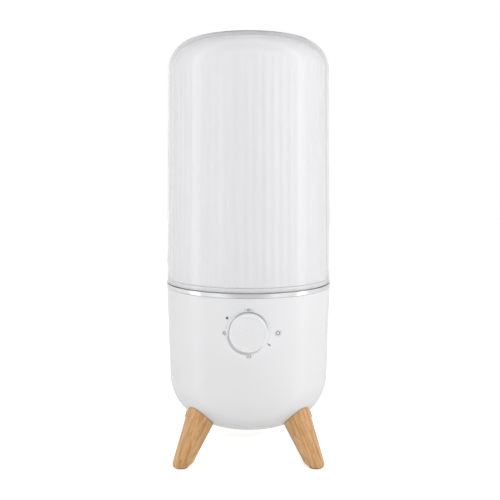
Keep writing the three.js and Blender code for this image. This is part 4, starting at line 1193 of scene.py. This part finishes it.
basin = {
    "radius": 53.3 * mm, "wall": 2.4 * mm, "deck": 2.4 * mm, "depth": 39.2 * mm, "pin": 2.4 * mm,
    "post": 2.3 * mm, "postHeight": 23 * mm, "hole": 8.5 * mm, "corner": 3 * mm,
    "towerBore": 6.6 * mm, "windowHole": 4.3 * mm,
}
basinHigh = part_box("water_basin")[1]
deckTop = basinHigh.z
towerLow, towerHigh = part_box("air_tower")
towerY = (towerLow.y + towerHigh.y) / 2
capLow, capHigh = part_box("fill_cap")
capX = (capLow.x + capHigh.x) / 2
floatLow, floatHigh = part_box("float")
floatX, floatY = (floatLow.x + floatHigh.x) / 2, (floatLow.y + floatHigh.y) / 2
windowLow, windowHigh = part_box("light_window")
windowY = (windowLow.y + windowHigh.y) / 2
basinFloor = deckTop - basin["depth"]
basinPiece = lathe("water_basin_white", rounded([
    (0, basinFloor),
    (basin["radius"], basinFloor, basin["corner"]),
    (basin["radius"], deckTop, 1.2 * mm),
    (basinHigh.x, deckTop, 0.4 * mm),
    (basinHigh.x, deckTop - basin["deck"], 0.4 * mm),
    (basin["radius"] + basin["wall"], deckTop - basin["deck"]),
    (basin["radius"] + basin["wall"], basinFloor - basin["deck"], 2 * mm),
    (0, basinFloor - basin["deck"]),
], 6), 192, bodyAxis)
pinTop = capLow.z - 1.8 * mm
rodFoot = basinFloor - basin["deck"] / 2  # rods and bosses meet inside the floor
rods = [
    rod(basin["pin"], rodFoot, pinTop, upright(capX, axisY)),
    rod(basin["post"], rodFoot, basinFloor + basin["postHeight"], upright(floatX, floatY)),
]
rods += [rod(clamp["boss"], clampHigh.z - clamp["bossDepth"], rodFoot,
             upright(side * clamp["circle"], axisY)) for side in (-1, 1)]
basinPiece = withTool(basinPiece, joined("rods", rods), "UNION")
holes = [
    rod(basin["hole"], basinFloor - 4 * mm, basinFloor + past, bodyAxis),
    rod(basin["towerBore"], basinFloor - 4 * mm, basinFloor + past, upright(0, towerY)),
    rod(basin["windowHole"], deckTop - 5 * mm, deckTop + past, upright(0, windowY)),
]
holes += [rod(clamp["pilot"], clampHigh.z - clamp["pilotDepth"], clampHigh.z + 0.4 * mm,
              upright(side * clamp["circle"], axisY)) for side in (-1, 1)]
basinPiece = withTool(basinPiece, joined("holes", holes))
install(basinPiece, "base", "white_plastic", "water_basin")

tower = {"radius": 8.5 * mm, "flangeHeight": 1.8 * mm}
flangeRadius, flangeTop = (towerHigh.y - towerLow.y) / 2, towerLow.z + tower["flangeHeight"]
turnedPiece("air_tower_white", "base", "white_plastic", "air_tower", [
    (basin["towerBore"], towerLow.z),
    (flangeRadius, towerLow.z),
    (flangeRadius, flangeTop, 0.4 * mm),
    (tower["radius"], flangeTop, 0.6 * mm),
    (tower["radius"], towerHigh.z, 0.5 * mm),
    (basin["towerBore"], towerHigh.z, 0.5 * mm),
], 72, upright(0, towerY))

window = {"radius": 4 * mm, "flange": 5.6 * mm, "flangeHeight": 1.5 * mm}
flangeTop = windowLow.z + window["flangeHeight"]
turnedPiece("light_window_frosted", "base", "lens", "light_window", [
    (0, windowLow.z), (window["flange"], windowLow.z, 0.2 * mm),
    (window["flange"], flangeTop, 0.2 * mm), (window["radius"], flangeTop),
    (window["radius"], windowHigh.z, 0.4 * mm), (0, windowHigh.z),
], 64, upright(0, windowY))

foam = {
    "bore": 2.9 * mm, "magnetInner": 3.9 * mm, "magnetOuter": 6.5 * mm, "pocketDepth": 3.3 * mm,
    "radius": 9 * mm,
}
pocketTop = floatLow.z + foam["pocketDepth"]
turnedPiece("float_foam", "float", "foam", "float", [
    (foam["bore"], floatLow.z), (foam["magnetInner"], floatLow.z), (foam["magnetInner"], pocketTop),
    (foam["magnetOuter"], pocketTop), (foam["magnetOuter"], floatLow.z),
    (foam["radius"], floatLow.z, 0.8 * mm), (foam["radius"], floatHigh.z, 1.2 * mm),
    (foam["bore"], floatHigh.z, 0.4 * mm),
], 64, upright(floatX, floatY), 5)

retainer = {"bore": 2.6 * mm, "radius": 4.6 * mm}
retainerLow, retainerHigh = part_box("float_retainer")
turnedPiece("float_retainer_white", "base", "white_plastic", "float_retainer", [
    (retainer["bore"], retainerLow.z), (retainer["radius"], retainerLow.z, 0.3 * mm),
    (retainer["radius"], retainerHigh.z, 0.5 * mm), (retainer["bore"], retainerHigh.z),
], 48, upright(floatX, floatY))

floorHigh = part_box("tank_floor")[1]
seat = shellLow.z
tankFloor = {
    "rise": 0.8 * mm, "skirt": 69.9 * mm, "skirtWall": 2.6 * mm, "skirtDepth": 3.1 * mm,
    "neckWall": 2 * mm, "neckLength": 6.1 * mm, "chimneyHole": 12.7 * mm,
}
cap = {"grips": 30, "gripDepth": 0.7 * mm, "valveHole": 4.4 * mm, "wall": 1.6 * mm, "plate": 1.8 * mm}
capRadius = (capHigh.x - capLow.x) / 2
plateLow, plateHigh = seat + tankFloor["rise"], floorHigh.z
rimLow = seat + 0.05 * mm
plateRadius = floorHigh.x
skirtInner = tankFloor["skirt"] - tankFloor["skirtWall"]
skirtEnd = seat - tankFloor["skirtDepth"]
neckRadius = capRadius - cap["wall"] - gap
neckEnd = plateLow - tankFloor["neckLength"]
floorPiece = lathe("tank_floor_milky", rounded([
    (tankFloor["chimneyHole"], plateLow), (skirtInner, plateLow, 0.8 * mm),
    (skirtInner, skirtEnd, 0.5 * mm), (tankFloor["skirt"], skirtEnd, 0.8 * mm),
    (tankFloor["skirt"], rimLow), (plateRadius, rimLow), (plateRadius, plateHigh, 0.4 * mm),
    (tankFloor["chimneyHole"], plateHigh),
]), 192, bodyAxis)
capPlace = upright(capX, axisY)
floorPiece = withTool(floorPiece, rod(neckRadius, neckEnd, plateHigh - 0.2 * mm, capPlace, 96), "UNION")
floorPiece = withTool(floorPiece, rod(neckRadius - tankFloor["neckWall"], neckEnd - past,
                                      plateHigh + past, capPlace, 96))
install(floorPiece, "tank", "liner_plastic", "tank_floor")

capOutline = rounded([
    (cap["valveHole"], capLow.z, 0.3 * mm), (capRadius, capLow.z, 1.0 * mm),
    (capRadius, capLow.z + 4.6 * mm), (capRadius, capHigh.z, 0.4 * mm),
    (capRadius - cap["wall"], capHigh.z, 0.3 * mm), (capRadius - cap["wall"], capLow.z + cap["plate"]),
    (cap["valveHole"], capLow.z + cap["plate"], 0.3 * mm),
])
capWeights = [1.0 if capRadius - radius < 0.01 * mm and height < capHigh.z - 1 * mm else 0.0
              for radius, height in capOutline]
capPiece = lathe("fill_cap_white", capOutline, cap["grips"] * 6, capPlace, capWeights)
capPiece = grown(capPiece, ribs, {
    "Ribs": cap["grips"], "Depth": cap["gripDepth"], "Sharpness": 2.5, "Centre": (capX, axisY, 0),
    "Finish": finishes["white_plastic"]})
install(capPiece, "fill_cap", "white_plastic", "fill_cap")

chimneyLow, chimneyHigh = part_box("mist_chimney")
chimney = {"bore": 10.6 * mm, "radius": 12.4 * mm, "flange": 17 * mm, "flangeHeight": 1.8 * mm}
linerSeat = plateHigh + gap
flangeTop = linerSeat + chimney["flangeHeight"]
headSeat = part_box("chimney_seal")[1].z + gap
turnedPiece("mist_chimney_milky", "tank", "liner_plastic", "mist_chimney", [
    (chimney["bore"], chimneyLow.z, 0.3 * mm), (chimney["radius"], chimneyLow.z, 0.5 * mm),
    (chimney["radius"], linerSeat), (chimney["flange"], linerSeat),
    (chimney["flange"], flangeTop), (chimney["radius"], flangeTop),
    (chimney["radius"], headSeat), (chimneyHigh.x, headSeat), (chimneyHigh.x, chimneyHigh.z),
    (chimney["bore"], chimneyHigh.z),
], 96, bodyAxis)
print("basin and tank underside made")

studio = {
    "floor": (0.75, 0.75, 0.75, 1),
    "floorGlow": 0.56,  # added for the camera only
    "floorSize": 6.0,
    "backLevel": 1.52,  # soft fill from the sides and back
    "frontLevel": 0.0,  # and from behind the camera
    "aboveShare": 0.58,  # how much of either is left straight overhead
    # what glass and gloss see: (how far back a direction points, brightness)
    "mirrored": [(-1.0, 0.66), (-0.94, 0.70), (-0.80, 1.0), (-0.40, 0.9), (-0.27, 1.5), (-0.12, 1.5),
                 (-0.02, 0.95), (0.30, 0.90), (0.50, 0.84), (0.86, 0.80), (0.935, 1.0), (1.0, 1.0)],
    "top": {"size": 1.3, "power": 1.2, "height": 1.6},
    "sides": {"size": (0.5, 1.1), "power": 2.5, "side": 0.95, "front": -0.35, "height": 0.45},
    "key": {"size": 0.05, "power": 8.4, "turn": math.radians(8), "lift": math.radians(23), "away": 1.4},
}
half = studio["floorSize"] / 2
floorMesh = bpy.data.meshes.new("studio_floor")
floorMesh.from_pydata([(-half, -half, 0), (half, -half, 0), (half, half, 0), (-half, half, 0)], [],
                      [(0, 1, 2, 3)])
floor = newPiece("studio_floor", floorMesh)
paper, paperTree, paperShader = newFinish("paperFloor", {
    "Base Color": studio["floor"], "Roughness": 0.9, "Specular IOR Level": 0.1,
    "Emission Color": (1, 1, 1, 1)})
paperRay = addNode(paperTree, "ShaderNodeLightPath").outputs["Is Camera Ray"]
paperTree.links.new(times(paperTree, paperRay, studio["floorGlow"]),
                    paperShader.inputs["Emission Strength"])
floor.data.materials.append(paper)
floor.visible_glossy = False
floor.visible_transmission = False

world = bpy.data.worlds.new("studio")
bpy.context.scene.world = world
world.use_nodes = True
sky = world.node_tree
sky.nodes.clear()
way = addNode(sky, "ShaderNodeTexCoord").outputs["Generated"]
facing = addNode(sky, "ShaderNodeSeparateXYZ", values={0: way})
depthWise = facing.outputs[1]
above = spread(sky, facing.outputs[2], 0.2, 0.95, 1.0, studio["aboveShare"])
level = spread(sky, depthWise, -0.6, 0.0, studio["frontLevel"], studio["backLevel"])
fill = times(sky, level, above)
mirrored = addNode(sky, "ShaderNodeFloatCurve", values={
    "Value": maths(sky, "MULTIPLY_ADD", depthWise, 0.5, 0.5)})
curve = mirrored.mapping.curves[0]
brightest = max(level for way, level in studio["mirrored"])
for i, (back, level) in enumerate(studio["mirrored"]):
    spot = (back / 2 + 0.5, level / brightest)
    if i < 2:
        curve.points[i].location = spot
    else:
        curve.points.new(*spot)
for point in curve.points:
    point.handle_type = "VECTOR"
mirrored.mapping.update()
gloss = times(sky, times(sky, mirrored.outputs[0], brightest), above)
ray = addNode(sky, "ShaderNodeLightPath")
unseen = maths(sky, "SUBTRACT", 1.0, ray.outputs["Is Camera Ray"])
soft = times(sky, ray.outputs["Is Diffuse Ray"], maths(sky, "SUBTRACT", fill, gloss))
hidden = times(sky, unseen, maths(sky, "ADD", gloss, soft))
strength = maths(sky, "ADD", ray.outputs["Is Camera Ray"], hidden)
surround = addNode(sky, "ShaderNodeBackground", values={"Color": (1, 1, 1, 1), "Strength": strength})
addNode(sky, "ShaderNodeOutputWorld", values={"Surface": surround.outputs[0]})


def softbox(name, place, aim, size, power):
    lamp = bpy.data.lights.new(name, "AREA")
    lamp.shape = "RECTANGLE"
    lamp.size, lamp.size_y = size
    lamp.energy = power
    holder = bpy.data.objects.new(name, lamp)
    bpy.context.scene.collection.objects.link(holder)
    holder.location = place
    holder.rotation_euler = (Vector(aim) - Vector(place)).to_track_quat("-Z", "Y").to_euler()
    holder.visible_glossy = False
    holder.visible_transmission = False


top, sides = studio["top"], studio["sides"]
softbox("top_softbox", (0, 0.1, top["height"]), (0, 0, 0.1), (top["size"], top["size"]), top["power"])
for side in (-1, 1):
    softbox("softbox_" + ("left" if side < 0 else "right"),
            (side * sides["side"], sides["front"], sides["height"]), (0, 0, 0.25),
            sides["size"], sides["power"])
key = studio["key"]
keyLevel = key["away"] * math.cos(key["lift"])
keyPlace = (keyLevel * math.sin(key["turn"]), -keyLevel * math.cos(key["turn"]),
            dialCentre + key["away"] * math.sin(key["lift"]))
softbox("key_softbox", keyPlace, (0, 0, dialCentre), (key["size"], key["size"]), key["power"])

shot = {
    "behind": 0.6333, "height": 0.254, "pitch": math.radians(5.5), "lens": 49.2,
    "shiftX": 0.003, "shiftY": -0.0202,
}
camera = bpy.data.cameras.new("camera")
camera.sensor_width = 36.0
camera.lens = shot["lens"]
camera.shift_x, camera.shift_y = shot["shiftX"], shot["shiftY"]
cameraHolder = bpy.data.objects.new("camera", camera)
bpy.context.scene.collection.objects.link(cameraHolder)
cameraHolder.location = (0, axisY - shot["behind"], shot["height"])
cameraHolder.rotation_euler = (math.pi / 2 - shot["pitch"], 0, 0)
bpy.context.scene.camera = cameraHolder
bpy.context.scene.view_settings.view_transform = "Standard"
print("studio ready")
